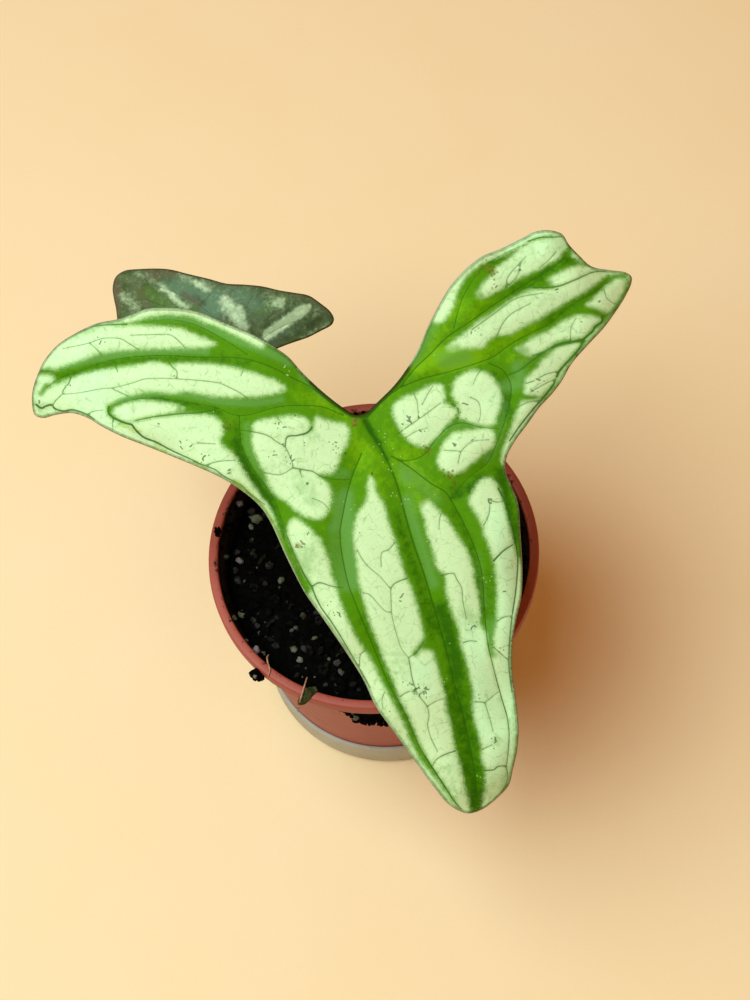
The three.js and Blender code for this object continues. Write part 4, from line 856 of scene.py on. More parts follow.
class LeafPaint(Paint):
    """A blade's material: its flat places in millimetres and the noise that its colours share."""

    def __init__(self, name, cloud_scale, fine_scale, fine_detail, fine_roughness):
        super().__init__(name)
        self.flat = self.node("Attribute", {}, attribute_name="flat").outputs["Vector"]
        self.cloud = self.noise(self.flat, cloud_scale, 4, 0.6)
        self.grain = self.noise(self.flat, 1.6, 3, 0.6)
        self.fine = self.noise(self.flat, fine_scale, fine_detail, fine_roughness)

    def two_sided(self, color, under):
        return self.mix(self.between(self.number("top"), 0.3, 0.7), under, color)


def green_bands(paint):
    # Painted light and painted shade: the light strokes make the bands brighter or deeper green
    light = paint.math("ADD", paint.ragged("light", paint.cloud, 0.8), paint.about(paint.grain, -0.35, 0.35))
    green = paint.laid(tint(GREEN), GREEN_PAINTED_LIGHT, paint.between(light, 0, 1.1))
    green = paint.laid(green, GREEN_PAINTED_SHADE, paint.between(light, 0, -1))
    # Painted sheen: bluish green laid over the bands along the sheen strokes
    green = paint.laid(green, GREEN_PAINTED_SHEEN, paint.between(paint.ragged("painted_sheen", paint.grain, 0.35), 0.1, 1.1))
    flecks = paint.between(paint.cells(paint.flat, 1.15), 0.12, 0.05)
    return paint.laid(green, GREEN_FLECK, flecks, 0.3)


def pale_patches(paint, reach):
    """The pale colour, greener in a fringe along the patches' edges."""
    # Mint tone, partly painted light that offsets the warmer light on the blade's right-hand parts
    mint_and_painted_light = paint.ragged("mint_and_painted_light", paint.noise(paint.flat, 0.16, 3), 0.5)
    patch = paint.laid(tint(PALE), PALE_MINT, paint.between(mint_and_painted_light, 0, 1))
    patch = paint.laid(patch, PALE_DULL, paint.between(paint.ragged("dull", paint.cloud, 1.05), 0, 1.05))
    patch = paint.laid(patch, PALE_FRINGE, paint.between(reach, 1.2, 0.3), 0.3)
    patch = paint.laid(patch, LIME, paint.between(paint.ragged("lime", paint.grain, 0.5), 0.2, 0.8), 0.8)
    specks = paint.between(paint.cells(paint.flat, 0.62), 0.1, 0.035)
    return paint.laid(patch, PALE_SPECK, specks, 0.35)


def with_net(paint, patch):
    """The patches' finest veins, as the edges of cells of two sizes."""
    bent = paint.shifted(paint.flat, 0.5, 1.9)
    netted = paint.between(paint.cells(bent, 0.3, "DISTANCE_TO_EDGE"), 0.036, 0.008)
    finer = paint.between(paint.cells(bent, 0.85, "DISTANCE_TO_EDGE"), 0.06, 0.015)
    thinned = paint.between(paint.cloud, 0.4, 0.62)
    patch = paint.laid(patch, VEIN_FAINT, finer, 0.11)
    return paint.laid(patch, VEIN_FAINT, netted, paint.about(thinned, 0.04, 0.42))


def with_veins(paint, green, patch):
    """The two colours with the veins drawn on them, darker where a vein is wide."""
    vein = paint.ragged("vein", paint.fine, 0.45)
    is_vein = paint.between(vein, 1.6, 0.5)
    patch = paint.laid(with_net(paint, patch), VEIN_FAINT, paint.between(vein, 5, 1.5), 0.16)
    depth = paint.between(paint.number("vein_width"), 0.1, 0.25)
    drawn = paint.math("MULTIPLY", is_vein, paint.about(depth, 0.8, 0.96))
    patch = paint.mix(drawn, patch, paint.laid(tint(VEIN_PALE), VEIN_DARK, depth))
    return paint.laid(green, VEIN_GREEN, is_vein, 0.6), patch


def with_marks(paint, color):
    color = paint.laid(color, STAIN, paint.between(paint.ragged("stain", paint.fine, 0.5), 0.3, 1), 0.6)
    for name, mark in (("lint", LINT), ("rust", RUST), ("dots", SPECK)):
        near = paint.between(paint.ragged(name, paint.fine, 0.3), 1.25, 0.5)
        color = paint.laid(color, mark, near, 0.72)
    return color


def with_margin(paint, color):
    """A dark line just inside the margin, and the thin pale margin itself, a painted highlight along the
    edge.
    """
    edge = paint.ragged("edge", paint.grain, 0.2)
    shade = paint.between(paint.number("shade"), 0.2, 0.9)
    broken = paint.about(paint.cloud, 0.1, 0.9)
    color = paint.laid(color, MARGIN_LINE, paint.between(edge, 0.95, 0.55), broken)
    color = paint.laid(color, SHADED_LINE, shade, paint.between(edge, 1.3, 0.4))
    # Painted highlight: the thin pale margin, darker near the stalk where it is shaded
    margin_highlight = paint.math("MULTIPLY", paint.between(edge, 0.36, 0.16), 0.8)
    return paint.mix(margin_highlight, color, paint.laid(tint(MARGIN), SHADED_MARGIN, shade))


def leaf_paint():
    """The large blade: pale patches with frayed edges between green bands."""
    paint = LeafPaint("patterned_leaf", 0.55, 4.6, 3, 0.7)
    wander = paint.about(paint.noise(paint.flat, 0.8), -0.5, 0.5)
    frayed = paint.math("ADD", paint.number("patch"), wander)
    reach = paint.math("ADD", frayed, paint.about(paint.fine, -1.5, 1.5))
    bare = paint.between(paint.ragged("veil", paint.fine, 0.5), 0.95, 0.15)
    pale = paint.math("MULTIPLY", paint.between(reach, -0.75, 0.75), bare)
    green, patch = with_veins(paint, green_bands(paint), pale_patches(paint, reach))
    color = paint.mix(pale, green, patch)
    color = paint.laid(color, RIB, paint.between(paint.number("rib"), 1.6, 0.4), 0.75)
    color = with_margin(paint, with_marks(paint, color))
    under = paint.laid(tint(UNDERSIDE_GREEN), UNDERSIDE, pale, 0.6)
    under = paint.laid(under, UNDERSIDE_RIB, paint.between(paint.number("rib"), 3.4, 1.4))
    pores = paint.math("MULTIPLY", paint.noise(paint.flat, 14), 0.6)
    paint.bump(paint.math("ADD", paint.fine, pores), 0.00006)
    return paint.finish(paint.two_sided(color, under), paint.about(paint.grain, 0.52, 0.66), 0.06)


def dark_leaf_paint():
    """The dark blade: mottled greens with silvery streaks."""
    paint = LeafPaint("dark_leaf", 0.4, 5.5, 2, 0.5)
    flat = paint.flat
    color = paint.laid(tint(DARK_LOW), DARK_HIGH, paint.between(paint.cloud, 0.35, 0.65))
    for name, (shade, spread) in DARK_TONES.items():
        color = paint.laid(color, shade, paint.between(paint.ragged(name, paint.grain, spread), 0.1, 1))
    vein = paint.between(paint.ragged("vein", paint.fine, 0.4), 1.9, 0.7)
    color = paint.laid(color, DARK_VEIN, vein, 0.4)
    streak = paint.between(paint.ragged("streak", paint.noise(flat, 0.95, 2, 0.55), 0.6), 0.05, 1.1)
    mottle = paint.between(paint.cells(paint.shifted(flat, 1.2, 0.8), 0.8), 0.25, 0.6)
    color = paint.laid(color, DARK_SILVER, streak, paint.about(mottle, 0.97, 0.7))
    color = paint.laid(color, DARK_ASH, paint.between(paint.noise(flat, 0.75, 3, 0.6), 0.52, 0.75), 0.35)
    color = paint.laid(color, DARK_PIT, paint.between(paint.cells(flat, 1.6), 0.16, 0.07), 0.4)
    color = paint.laid(color, DARK_RIB, paint.between(paint.number("rib"), 1.8, 0.5), 0.5)
    color = paint.laid(color, DARK_MARGIN, paint.between(paint.ragged("edge", paint.grain, 0.3), 0.7, 0.15))
    under = paint.laid(tint(DARK_UNDER_LOW), DARK_UNDER_HIGH, paint.cloud)
    paint.bump(paint.math("ADD", paint.fine, paint.grain), 0.00008)
    return paint.finish(paint.two_sided(color, under), paint.about(paint.grain, 0.46, 0.62), 0.24)


def plastic_paint(name, colors, roughness, walled=False):
    """Moulded plastic: faint clouds, fine pits, scuffs and a little dust.

    Where it is walled, it also reads the pot's stored film of soil and shade, and its lip: below the lip's
    top the pot is painted darker, as painted shade.
    """
    main, dark, worn, dust = colors
    paint = Paint(name)
    place = paint.place()
    cloud = paint.noise(place, 38, 4, 0.6)
    grain = paint.noise(place, 420, 3, 0.6)
    color = paint.laid(tint(dark), main, paint.between(cloud, 0.3, 0.7))
    if walled:
        # Painted shade: below the lip's top the pot takes darker wall colours, standing in for the shade
        # under the lip and the leaves
        low, high = POT_WALL_SHADED_COLORS
        wall = paint.laid(tint(low), high, paint.between(cloud, 0.35, 0.65))
        color = paint.mix(paint.number("lip"), wall, color)
    color = paint.laid(color, worn, paint.between(grain, 0.52, 0.72), 0.15)
    color = paint.laid(color, dust, paint.between(paint.cells(place, 260), 0.13, 0.05), 0.35)
    height = paint.math("ADD", paint.noise(place, 1500), grain)
    if walled:
        # Near-black film: soil on the walls, and on the inner wall also painted shade
        film_and_shade = paint.between(paint.ragged("soil_and_shade", paint.noise(place, 520, 4, 0.7), 0.9), 0.38, 0.62)
        low, high = FILM_AND_SHADE_COLORS
        color = paint.mix(film_and_shade, color, paint.laid(tint(low), high, grain))
        height = paint.math("ADD", height, paint.math("MULTIPLY", film_and_shade, 4))
    paint.bump(height, 0.00005)
    return paint.finish(color, paint.about(grain, roughness - 0.08, roughness + 0.1), 0.4)


def grain_paint(name, dark, light, scale, depth, roughness=0.9, stray=None):
    """Rough natural stuff, mottled between two colours; stray is the colour of its odd paler lumps."""
    paint = Paint(name)
    place = paint.place()
    coarse = paint.noise(place, scale, 4, 0.65)
    fine = paint.noise(place, scale * 6, 3, 0.6)
    color = paint.laid(tint(dark), light, paint.between(coarse, 0.35, 0.68))
    color = paint.laid(color, dark, paint.between(fine, 0.5, 0.7), 0.5)
    if stray:
        color = paint.laid(color, stray, paint.number("pale"), paint.between(coarse, 0.35, 0.6))
    paint.bump(paint.math("ADD", coarse, paint.math("MULTIPLY", fine, 0.5)), depth)
    return paint.finish(color, paint.about(fine, roughness - 0.1, min(1, roughness + 0.05)), 0.03)


def perlite_paint():
    """Chalky grains, each more or less stained by the soil."""
    paint = Paint("perlite")
    place = paint.place()
    coarse = paint.noise(place, 700, 3, 0.6)
    fine = paint.noise(place, 2600, 3, 0.6)
    chalk = paint.laid(tint(CHALK_GREEN), CHALK_LILAC, paint.number("lilac"))
    clean = paint.math("ADD", paint.number("clean"), paint.about(coarse, -0.55, 0.45))
    color = paint.mix(paint.between(clean, -0.1, 1), tint(CHALK_STAINED), chalk)
    paint.bump(paint.math("ADD", coarse, fine), 0.0003)
    return paint.finish(color, paint.about(fine, 0.8, 0.95), 0.06)


def stalk_paint(name, colors):
    """Smooth stalk skin with long faint streaks and small pale specks."""
    green, dark, pale = colors
    paint = Paint(name)
    place = paint.place()
    streak = paint.noise(paint.stretched(place, (900, 900, 60)), 1, 3, 0.6)
    specks = paint.cells(paint.stretched(place, (1, 1, 0.5)), 900)
    color = paint.laid(tint(dark), green, paint.between(streak, 0.35, 0.65))
    color = paint.laid(color, pale, paint.between(paint.noise(place, 120, 3), 0.5, 0.75), 0.5)
    color = paint.laid(color, pale, paint.between(specks, 0.22, 0.1), 0.4)
    paint.bump(streak, 0.00008)
    return paint.finish(color, paint.about(streak, 0.42, 0.58), 0.35)


def paper_paint():
    """The floor: pale paper with faint clouds and fibres."""
    paint = Paint("paper")
    place = paint.place()
    fibre = paint.noise(place, 900, 3, 0.6)
    color = paint.laid(tint(PAPER_DEEP), PAPER, paint.between(paint.noise(place, 14, 4, 0.55), 0.3, 0.7))
    color = paint.laid(color, PAPER_FIBRE, paint.between(fibre, 0.5, 0.75), 0.12)
    paint.bump(fibre, 0.00004)
    return paint.finish(color, 0.9, 0.1)


# Shapes

def add_piece(name, points, faces, paint, slot, replaced=()):
    """A piece from points in millimetres, riding on the one body."""
    data = bpy.data.meshes.new(name)
    data.from_pydata([tuple(c * MM for c in point) for point in points], [], faces)
    data.polygons.foreach_set("use_smooth", [True] * len(data.polygons))
    data.materials.append(paint)
    data.update()
    piece = bpy.data.objects.new(name, data)
    bpy.context.scene.collection.objects.link(piece)
    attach(piece, "root")
    if replaced:
        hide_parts(*replaced)
    return piece


def store(piece, name, values):
    attribute = piece.data.attributes.new(name, "FLOAT", "POINT")
    attribute.data.foreach_set("value", np.asarray(values, np.float32))


def store_by_lump(piece, name, values):
    """One value for each of the equal lumps that make up a piece."""
    store(piece, name, np.repeat(values, len(piece.data.vertices) // len(values)))


def around(radius, angle, height):
    """A point at a radius and angle from the Z axis."""
    return radius * math.cos(angle), radius * math.sin(angle), height


def fading(distance, reach):
    """1 on a line, falling smoothly to almost 0 at twice the reach."""
    return np.exp(-(distance / reach) ** 2)


def rounded(profile, steps=4):
    """A profile of (radius, height, rounding) with each corner turned into an arc-like curve."""
    made = []
    for i, (radius, height, bend) in enumerate(profile):
        here = np.array((radius, height), float)
        if not bend or i in (0, len(profile) - 1):
            made.append(here)
            continue
        before = np.array(profile[i - 1][:2], float) - here
        after = np.array(profile[i + 1][:2], float) - here
        start = here + before * min(0.5, bend / np.linalg.norm(before))
        end = here + after * min(0.5, bend / np.linalg.norm(after))
        for t in np.linspace(0, 1, steps + 1):
            made.append((1 - t) ** 2 * start + 2 * t * (1 - t) * here + t ** 2 * end)
    return [(float(r), float(z)) for r, z in made]


def split_long(profile, longest):
    """The same profile with its long stretches cut up."""
    made = [profile[0]]
    for before, after in zip(profile, profile[1:]):
        count = max(1, math.ceil(math.dist(before, after) / longest))
        for step in range(1, count + 1):
            share = step / count
            made.append(tuple(b + (a - b) * share for b, a in zip(before, after)))
    return made


def turned(profile, sides, move=None):
    """Points and faces of a profile turned round the Z axis; both ends lie on the axis."""
    points = [(0, 0, profile[0][1]), (0, 0, profile[-1][1])]
    rings = profile[1:-1]
    for radius, height in rings:
        for i in range(sides):
            points.append(around(radius, 2 * math.pi * i / sides, height))
    faces = []
    for ring in range(len(rings) - 1):
        low, high = 2 + ring * sides, 2 + (ring + 1) * sides
        for i in range(sides):
            j = (i + 1) % sides
            faces.append((low + i, low + j, high + j, high + i))
    last = 2 + (len(rings) - 1) * sides
    for i in range(sides):
        j = (i + 1) % sides
        faces.append((0, 2 + j, 2 + i))
        faces.append((1, last + i, last + j))
    if move:
        points = [move(*point) for point in points]
    return points, faces


def smooth_line(points, step, closed=False):
    """Points about every step along a smooth line through the given ones."""
    given = np.array(points, float)
    if closed:
        ends = (given[-1:], given[:2])
        count = len(given)
    else:
        ends = (2 * given[:1] - given[1:2], 2 * given[-1:] - given[-2:-1])
        count = len(given) - 1
    surrounding = np.vstack([ends[0], given, ends[1]])
    made = []
    for i in range(count):
        a, b, c, d = surrounding[i:i + 4]
        first, middle, last = (max(1e-4, np.linalg.norm(q - p) ** 0.5) for p, q in ((a, b), (b, c), (c, d)))
        start = ((b - a) / first - (c - a) / (first + middle) + (c - b) / middle) * middle
        end = ((c - b) / middle - (d - b) / (middle + last) + (d - c) / last) * middle
        steps = max(2, math.ceil(np.linalg.norm(c - b) / step))
        for t in np.arange(steps) / steps:
            bend = (2 * b - 2 * c + start + end) * t ** 3 + (3 * c - 3 * b - 2 * start - end) * t ** 2
            made.append(b + start * t + bend)
    if not closed:
        made.append(given[-1])
    return np.array(made)


def even_line(points, step, closed=False):
    """Like smooth_line, but with even steps."""
    fine = smooth_line(points, step / 8, closed)
    if closed:
        fine = np.vstack([fine, fine[:1]])
    along = np.concatenate([[0], np.cumsum(np.linalg.norm(np.diff(fine, axis=0), axis=1))])
    count = max(2, round(along[-1] / step))
    stops = np.linspace(0, along[-1], count + 1)
    made = np.stack([np.interp(stops, along, fine[:, k]) for k in range(fine.shape[1])], axis=1)
    return made[:-1] if closed else made


def nearest(points, samples, limit):
    """Distance of each flat point to the nearest sample, up to a limit, and that sample's number."""
    tree = KDTree(len(samples))
    for i, sample in enumerate(samples):
        tree.insert((sample[0], sample[1], 0), i)
    tree.balance()
    found = [tree.find((u, v, 0)) for u, v in points.tolist()]
    distance = np.minimum([hit[2] for hit in found], limit)
    return distance, np.array([hit[1] for hit in found])


def close_to(points, line, margin):
    """Numbers of the points in the line's box, widened by a margin."""
    low, high = line.min(0) - margin, line.max(0) + margin
    return np.flatnonzero(((points >= low) & (points <= high)).all(1))


def is_inside(points, outline):
    inside = np.zeros(len(points), bool)
    near = close_to(points, outline, 0)
    u, v = points[near].T
    hit = np.zeros(len(near), bool)
    for (start_u, start_v), (end_u, end_v) in zip(np.roll(outline, 1, 0), outline):
        if start_v != end_v:
            crossed = (start_v > v) != (end_v > v)
            hit ^= crossed & (u < (end_u - start_u) * (v - start_v) / (end_v - start_v) + start_u)
    inside[near] = hit
    return inside


def strokes(points, marks):
    """Sum of soft strokes at each point; each has a strength, a radius and a line."""
    total = np.zeros(len(points))
    for strength, radius, line in marks:
        samples = smooth_line(line, radius / 3) if len(line) > 1 else np.array(line, float)
        near = close_to(points, samples, 2.6 * radius)
        if len(near):
            gaps = points[near][:, None, :] - samples[None, :, :]
            distance = np.sqrt((gaps ** 2).sum(2).min(1))
            total[near] += strength * fading(distance, radius)
    return total


def labelled(lines, widths, ends):
    """Samples along many lines, each with its half width, which narrows towards the line's end."""
    samples, sizes = [], []
    for line, width in zip(lines, widths):
        made = smooth_line(line, SAMPLE_STEP)
        samples.append(made)
        sizes.append(np.linspace(width, width * ends, len(made)))
    return np.vstack(samples), np.concatenate(sizes)


class Thinned:
    """Flat points that keep a least distance from each other."""

    def __init__(self, gap):
        self.gap = gap
        self.cells = {}
        self.points = []

    def add(self, points):
        for u, v in points:
            column, row = int(u // self.gap), int(v // self.gap)
            if self.is_free(column, row, u, v):
                self.cells.setdefault((column, row), []).append((u, v))
                self.points.append((u, v))

    def is_free(self, column, row, u, v):
        for i in (-1, 0, 1):
            for j in (-1, 0, 1):
                for other in self.cells.get((column + i, row + j), ()):
                    if math.hypot(other[0] - u, other[1] - v) < self.gap:
                        return False
        return True


# Blades

def field(margin):
    """An even field of flat points, in staggered rows, over the margin's box."""
    low, high = margin.min(0), margin.max(0)
    row_step = FINE_SPACING * math.sqrt(3) / 2
    for row in range(int((high[1] - low[1]) / row_step) + 1):
        for column in range(int((high[0] - low[0]) / FINE_SPACING) + 1):
            yield low[0] + (column + row % 2 / 2) * FINE_SPACING, low[1] + row * row_step


def blade_points(leaf, margin, marks):
    """The flat points of a blade, margin first: rows along its ribs and veins, and an even field."""
    kept = Thinned(LEAST_GAP)
    for places in marks.values():
        kept.add(places)
    for line in leaf["ribs"] + [line for _, line in leaf["veins"]]:
        kept.add(even_line(line, LINE_SPACING))
    for line in leaf["ribs"]:
        made = even_line(line, LINE_SPACING)
        along = np.gradient(made, axis=0)
        across = np.stack([-along[:, 1], along[:, 0]], 1) / np.linalg.norm(along, axis=1)[:, None]
        for side in (-LINE_SPACING, LINE_SPACING):
            kept.add(made + side * across)
    kept.add(field(margin))
    inner = np.array(kept.points)
    inner = inner[is_inside(inner, margin)]
    distance, _ = nearest(inner, margin, 2 * LEAST_GAP)
    return np.vstack([margin, inner[distance > LEAST_GAP]])


def blade_triangles(points, rim):
    """Triangles between the flat points, all wound the same way; the first points are the rim."""
    ring = [(i, (i + 1) % rim) for i in range(rim)]
    triangles = np.array(delaunay_2d_cdt([Vector(p) for p in points.tolist()], ring, [], 1, 1e-6)[2])
    corners = points[triangles]
    sides = corners[:, 1:] - corners[:, :1]
    turned_over = sides[:, 0, 0] * sides[:, 1, 1] < sides[:, 0, 1] * sides[:, 1, 0]
    triangles[turned_over] = triangles[turned_over][:, ::-1]
    return triangles


def measured(leaf, points):
    """Each flat point's distance to the margin, and to the nearest rib and vein with their half widths."""
    edge, _ = nearest(points, smooth_line(leaf["outline"], SAMPLE_STEP, closed=True), 30)
    rib_samples, rib_sizes = labelled(leaf["ribs"], leaf["rib_widths"], RIB_ENDS)
    rib, rib_at = nearest(points, rib_samples, 12)
    vein_widths, veins = zip(*leaf["veins"])
    vein_samples, vein_sizes = labelled(veins, vein_widths, VEIN_ENDS)
    vein, vein_at = nearest(points, vein_samples, 6)
    return dict(edge=edge, rib=rib, rib_size=rib_sizes[rib_at], vein=vein, vein_size=vein_sizes[vein_at])


def relief(leaf, points, edge, rib):
    """How far the blade's middle stands out of its flat frame."""
    u, v = points.T
    wave = np.sin(0.19 * u - 0.07 * v + 0.8) * np.sin(0.05 * u + 0.17 * v - 0.5)
    away = 1 - fading(np.hypot(u, v), leaf["rise_reach"])
    height = leaf["rise"] * away
    for (along_u, along_v), reach, drop in leaf["sag"]:
        height = height - drop * (np.maximum(0, u * along_u + v * along_v) / reach) ** 2
    height += leaf["pillow"] * (1 - fading(rib, leaf["pillow_reach"]))
    height += leaf["wave"] * wave * away * fading(edge, leaf["wave_reach"])
    height -= leaf["edge_drop"] * away * fading(edge, EDGE_DROP_REACH)
    curl_start, curl_rate = leaf["curl"]
    return height - curl_rate * np.maximum(0, -u - curl_start) ** 2


def in_frame(leaf, flat_points, heights):
    """Flat points raised along the line of sight and set in the plant's frame."""
    eye_u, eye_v, eye_distance = leaf["eye"]
    u, v = flat_points.T
    slide = heights / eye_distance
    local = np.stack([u + (eye_u - u) * slide, v + (eye_v - v) * slide, heights], 1)
    turn = Matrix.Rotation(LEAN, 3, "X") @ Matrix.Rotation(TURN, 3, "Z")
    return local @ np.array(turn).T + np.array(leaf["junction"])


def point_normals(points, triangles):
    corners = points[triangles]
    facing = np.cross(corners[:, 1] - corners[:, 0], corners[:, 2] - corners[:, 0])
    normals = np.zeros_like(points)
    for k in range(3):
        np.add.at(normals, triangles[:, k], facing)
    return normals / np.maximum(1e-12, np.linalg.norm(normals, axis=1))[:, None]


def blade_faces(leaf, points, triangles, near):
    """The points of the upper and the lower face, which meet at the margin."""
    edge, rib, vein = near["edge"], near["rib"], near["vein"]
    middle = in_frame(leaf, points, relief(leaf, points, edge, rib))
    normals = point_normals(middle, triangles)
    thick = 1 - fading(edge, MARGIN_REACH)
    rib_depth = near["rib_size"] / max(leaf["rib_widths"])
    upper = (TOP_OFFSET - MARGIN_OFFSET) * thick + MARGIN_OFFSET - RIB_GROOVE * rib_depth * fading(rib, 0.45)
    upper = upper - VEIN_GROOVE * fading(vein, 0.35) * thick
    upper = upper - VEIN_DIP * fading(vein, 1.3) * thick
    under = MARGIN_OFFSET - (UNDER_OFFSET + MARGIN_OFFSET) * thick - RIB_RIDGE * fading(rib, 0.62) * thick
    under = under - VEIN_RIDGE * fading(vein, 0.3) * thick
    return middle + normals * upper[:, None], middle + normals * under[:, None]


def patch_distance(points, patches, bands):
    """Signed distance to the pale patches' edges, positive inside them."""
    best = np.full(len(points), -PATCH_REACH)
    for outline in patches:
        line = smooth_line(outline, 0.25, closed=True)
        near = close_to(points, line, PATCH_REACH)
        if len(near):
            distance, _ = nearest(points[near], line, PATCH_REACH)
            signed = np.where(is_inside(points[near], line), distance, -distance)
            best[near] = np.maximum(best[near], signed)
    for half_width, line in bands:
        distance, _ = nearest(points, smooth_line(line, SAMPLE_STEP), PATCH_REACH)
        best = np.minimum(best, distance - half_width)
    return best


def scattered(groups, rng):
    """Flat places of small marks, gathered loosely round each group's middle."""
    return [(u + rng.gauss(0, spread), v + rng.gauss(0, spread))
            for (u, v), spread, count in groups for _ in range(count)]


def blade_values(leaf, points, marks, near):
    """The numbers that a blade's material reads, one for each flat point."""
    values = {
        "patch": patch_distance(points, leaf["patches"], leaf["bands"]),
        "rib": np.minimum(near["rib"] / near["rib_size"], FAR),
        "vein": np.minimum(near["vein"] / near["vein_size"], FAR),
        "vein_width": near["vein_size"],
        "edge": near["edge"],
    }
    for tone in TONES:
        if tone in leaf:
            values[tone] = strokes(points, leaf[tone])
    for mark, places in marks.items():
        distance, _ = nearest(points, np.array(places), FAR)
        values[mark] = np.minimum(distance / MARK_RADII[mark], FAR)
    return values


def blade(name, leaf, paint, slot, node):
    """A blade as two faces that share the points of its margin."""
    margin = even_line(leaf["outline"], LINE_SPACING, closed=True)
    rng = random.Random(3)
    marks = {mark: scattered(leaf[mark], rng) for mark in MARK_RADII if mark in leaf}
    points = blade_points(leaf, margin, marks)
    count, rim = len(points), len(margin)
    triangles = blade_triangles(points, rim)
    near = measured(leaf, points)
    top, bottom = blade_faces(leaf, points, triangles, near)
    below = np.arange(count) + count - rim
    below[:rim] = np.arange(rim)
    faces = triangles.tolist() + below[triangles][:, ::-1].tolist()
    piece = add_piece(name, np.vstack([top, bottom[rim:]]), faces, paint, slot, (node,))
    for value, numbers in blade_values(leaf, points, marks, near).items():
        store(piece, value, np.concatenate([numbers, numbers[rim:]]))
    store(piece, "top", np.concatenate([np.ones(count), np.zeros(count - rim)]))
    flat = piece.data.attributes.new("flat", "FLOAT_VECTOR", "POINT")
    places = np.zeros((2 * count - rim, 3), np.float32)
    places[:, :2] = np.vstack([points, points[rim:]])
    flat.data.foreach_set("vector", places.ravel())


# Dish, pot and soil

def pot_radius(height):
    rise = (height - DISH_FLOOR) / (LIP_FOOT - DISH_FLOOR)
    return POT_FOOT_RADIUS + (SHOULDER_RADIUS - POT_FOOT_RADIUS) * rise


def soil_height(x, y):
    reach = pot_radius(SOIL_TOP) - POT_WALL - SOIL_GAP
    broad = 0.9 * math.sin(x / 7 + 1.3) * math.cos(y / 9 - 0.4)
    narrow = 0.5 * math.sin(x / 3.1 + y / 4.3)
    return SOIL_TOP + broad + narrow - 1.2 * (math.hypot(x, y) / reach) ** 6


def make_dish(paint):
    inner = DISH_RADIUS - DISH_WALL
    profile = rounded([
        (0, 0, 0), (DISH_RADIUS - 4, 0, 0.4), (DISH_RADIUS - 3.4, 0.5, 0.3), (DISH_RADIUS - 1.6, 0.5, 0.5),
        (DISH_RADIUS, 1.6, 1.2), (DISH_RADIUS, DISH_HEIGHT, 0.35),
        (inner, DISH_HEIGHT, 0.35), (inner, DISH_FLOOR, 1.2), (0, DISH_FLOOR, 0),
    ])
    mesh = turned(split_long(profile, DISH_STEP), TURNED_SIDES)
    add_piece("dish_body", *mesh, paint, "dish_plastic", ("dish",))


def pot_profile():
    floor_top = DISH_FLOOR + POT_FLOOR
    return rounded([
        (0, DISH_FLOOR, 0), (POT_FOOT_RADIUS - 2.6, DISH_FLOOR, 0.3), (POT_FOOT_RADIUS, DISH_FLOOR, 0.9),
        (SHOULDER_RADIUS, LIP_FOOT, 0.5), (POT_RADIUS, LIP_FOOT + 0.3, 0.8), (POT_RADIUS, POT_TOP, 0.9),
        (LIP_INNER, POT_TOP, 0.8), (LIP_INNER, LIP_FOOT + 1.5, 0.6),
        (SHOULDER_RADIUS - POT_WALL, LIP_FOOT - 0.7, 0.6),
        (pot_radius(floor_top) - POT_WALL, floor_top, 1.2), (0, floor_top, 0),
    ])


def drain_cutter():
    """Upright rods where the drain holes go."""
    made = bmesh.new()
    for i in range(DRAIN_HOLES):
        place = around(DRAIN_CIRCLE, 2 * math.pi * (i + 0.5) / DRAIN_HOLES, DISH_FLOOR + POT_FLOOR / 2)
        bmesh.ops.create_cone(made, cap_ends=True, segments=28, radius1=DRAIN_RADIUS * MM,
                              radius2=DRAIN_RADIUS * MM, depth=4 * POT_FLOOR * MM,
                              matrix=Matrix.Translation(Vector(place) * MM))
    mesh = bpy.data.meshes.new("drain_cutter")
    made.to_mesh(mesh)
    made.free()
    cutter = bpy.data.objects.new("drain_cutter", mesh)
    bpy.context.scene.collection.objects.link(cutter)
    return cutter


def drill(pot):
    """Cuts the drain holes."""
    cutter = drain_cutter()
    boolean = pot.modifiers.new("drain", "BOOLEAN")
    boolean.operation = "DIFFERENCE"
    boolean.object = cutter
    boolean.solver = "EXACT"
    bpy.context.view_layer.update()
    graph = bpy.context.evaluated_depsgraph_get()
    pot.data = bpy.data.meshes.new_from_object(pot.evaluated_get(graph))
    pot.modifiers.clear()
    bpy.data.objects.remove(cutter)


def smear_depth(across, up):
    """How thickly the smear of soil covers the wall, from its middle (0, 0) to its ragged edge."""
    ragged = 0.35 * noise.noise(Vector((3 * across, 3 * up, 0.3)))
    return 1 - abs(across) ** 3 - abs(up) ** 3 + ragged


def film_and_shade_depth(x, y, z):
    """How much soil clings to the pot at a point of its surface; on the inner wall this near-black film is
    also painted shade.
    """
    radius = math.hypot(x, y)
    dusty = LIP_DUST if z > DUSTY_FROM and radius < LIP_INNER + 1 else 0
    inner_limit = LIP_INNER + 0.45 if z > LIP_FOOT + 0.6 else pot_radius(z) - 0.5
    if z > FILM_AND_SHADE_FROM and radius < inner_limit:
        return max(dusty, np.interp(z, FILM_AND_SHADE_FADES, (1, 0)))
    across = (math.degrees(math.atan2(y, x)) - SMEAR_ANGLE) / SMEAR_SPREAD / 1.15
    if abs(across) > 1.5:
        return dusty
    smear = 0.75 * smear_depth(across, (z - SMEAR_HEIGHT) / SMEAR_REACH / 1.1)
    return max(dusty, min(0.8, smear))


def make_pot(paint):
    mesh = turned(split_long(pot_profile(), POT_STEP), TURNED_SIDES)
    pot = add_piece("pot_shell", *mesh, paint, "pot_plastic", ("pot",))
    drill(pot)
    points = [vert.co / MM for vert in pot.data.vertices]
    store(pot, "soil_and_shade", [film_and_shade_depth(*point) for point in points])
    store(pot, "lip", [float(point.z > POT_TOP - 1.2) for point in points])


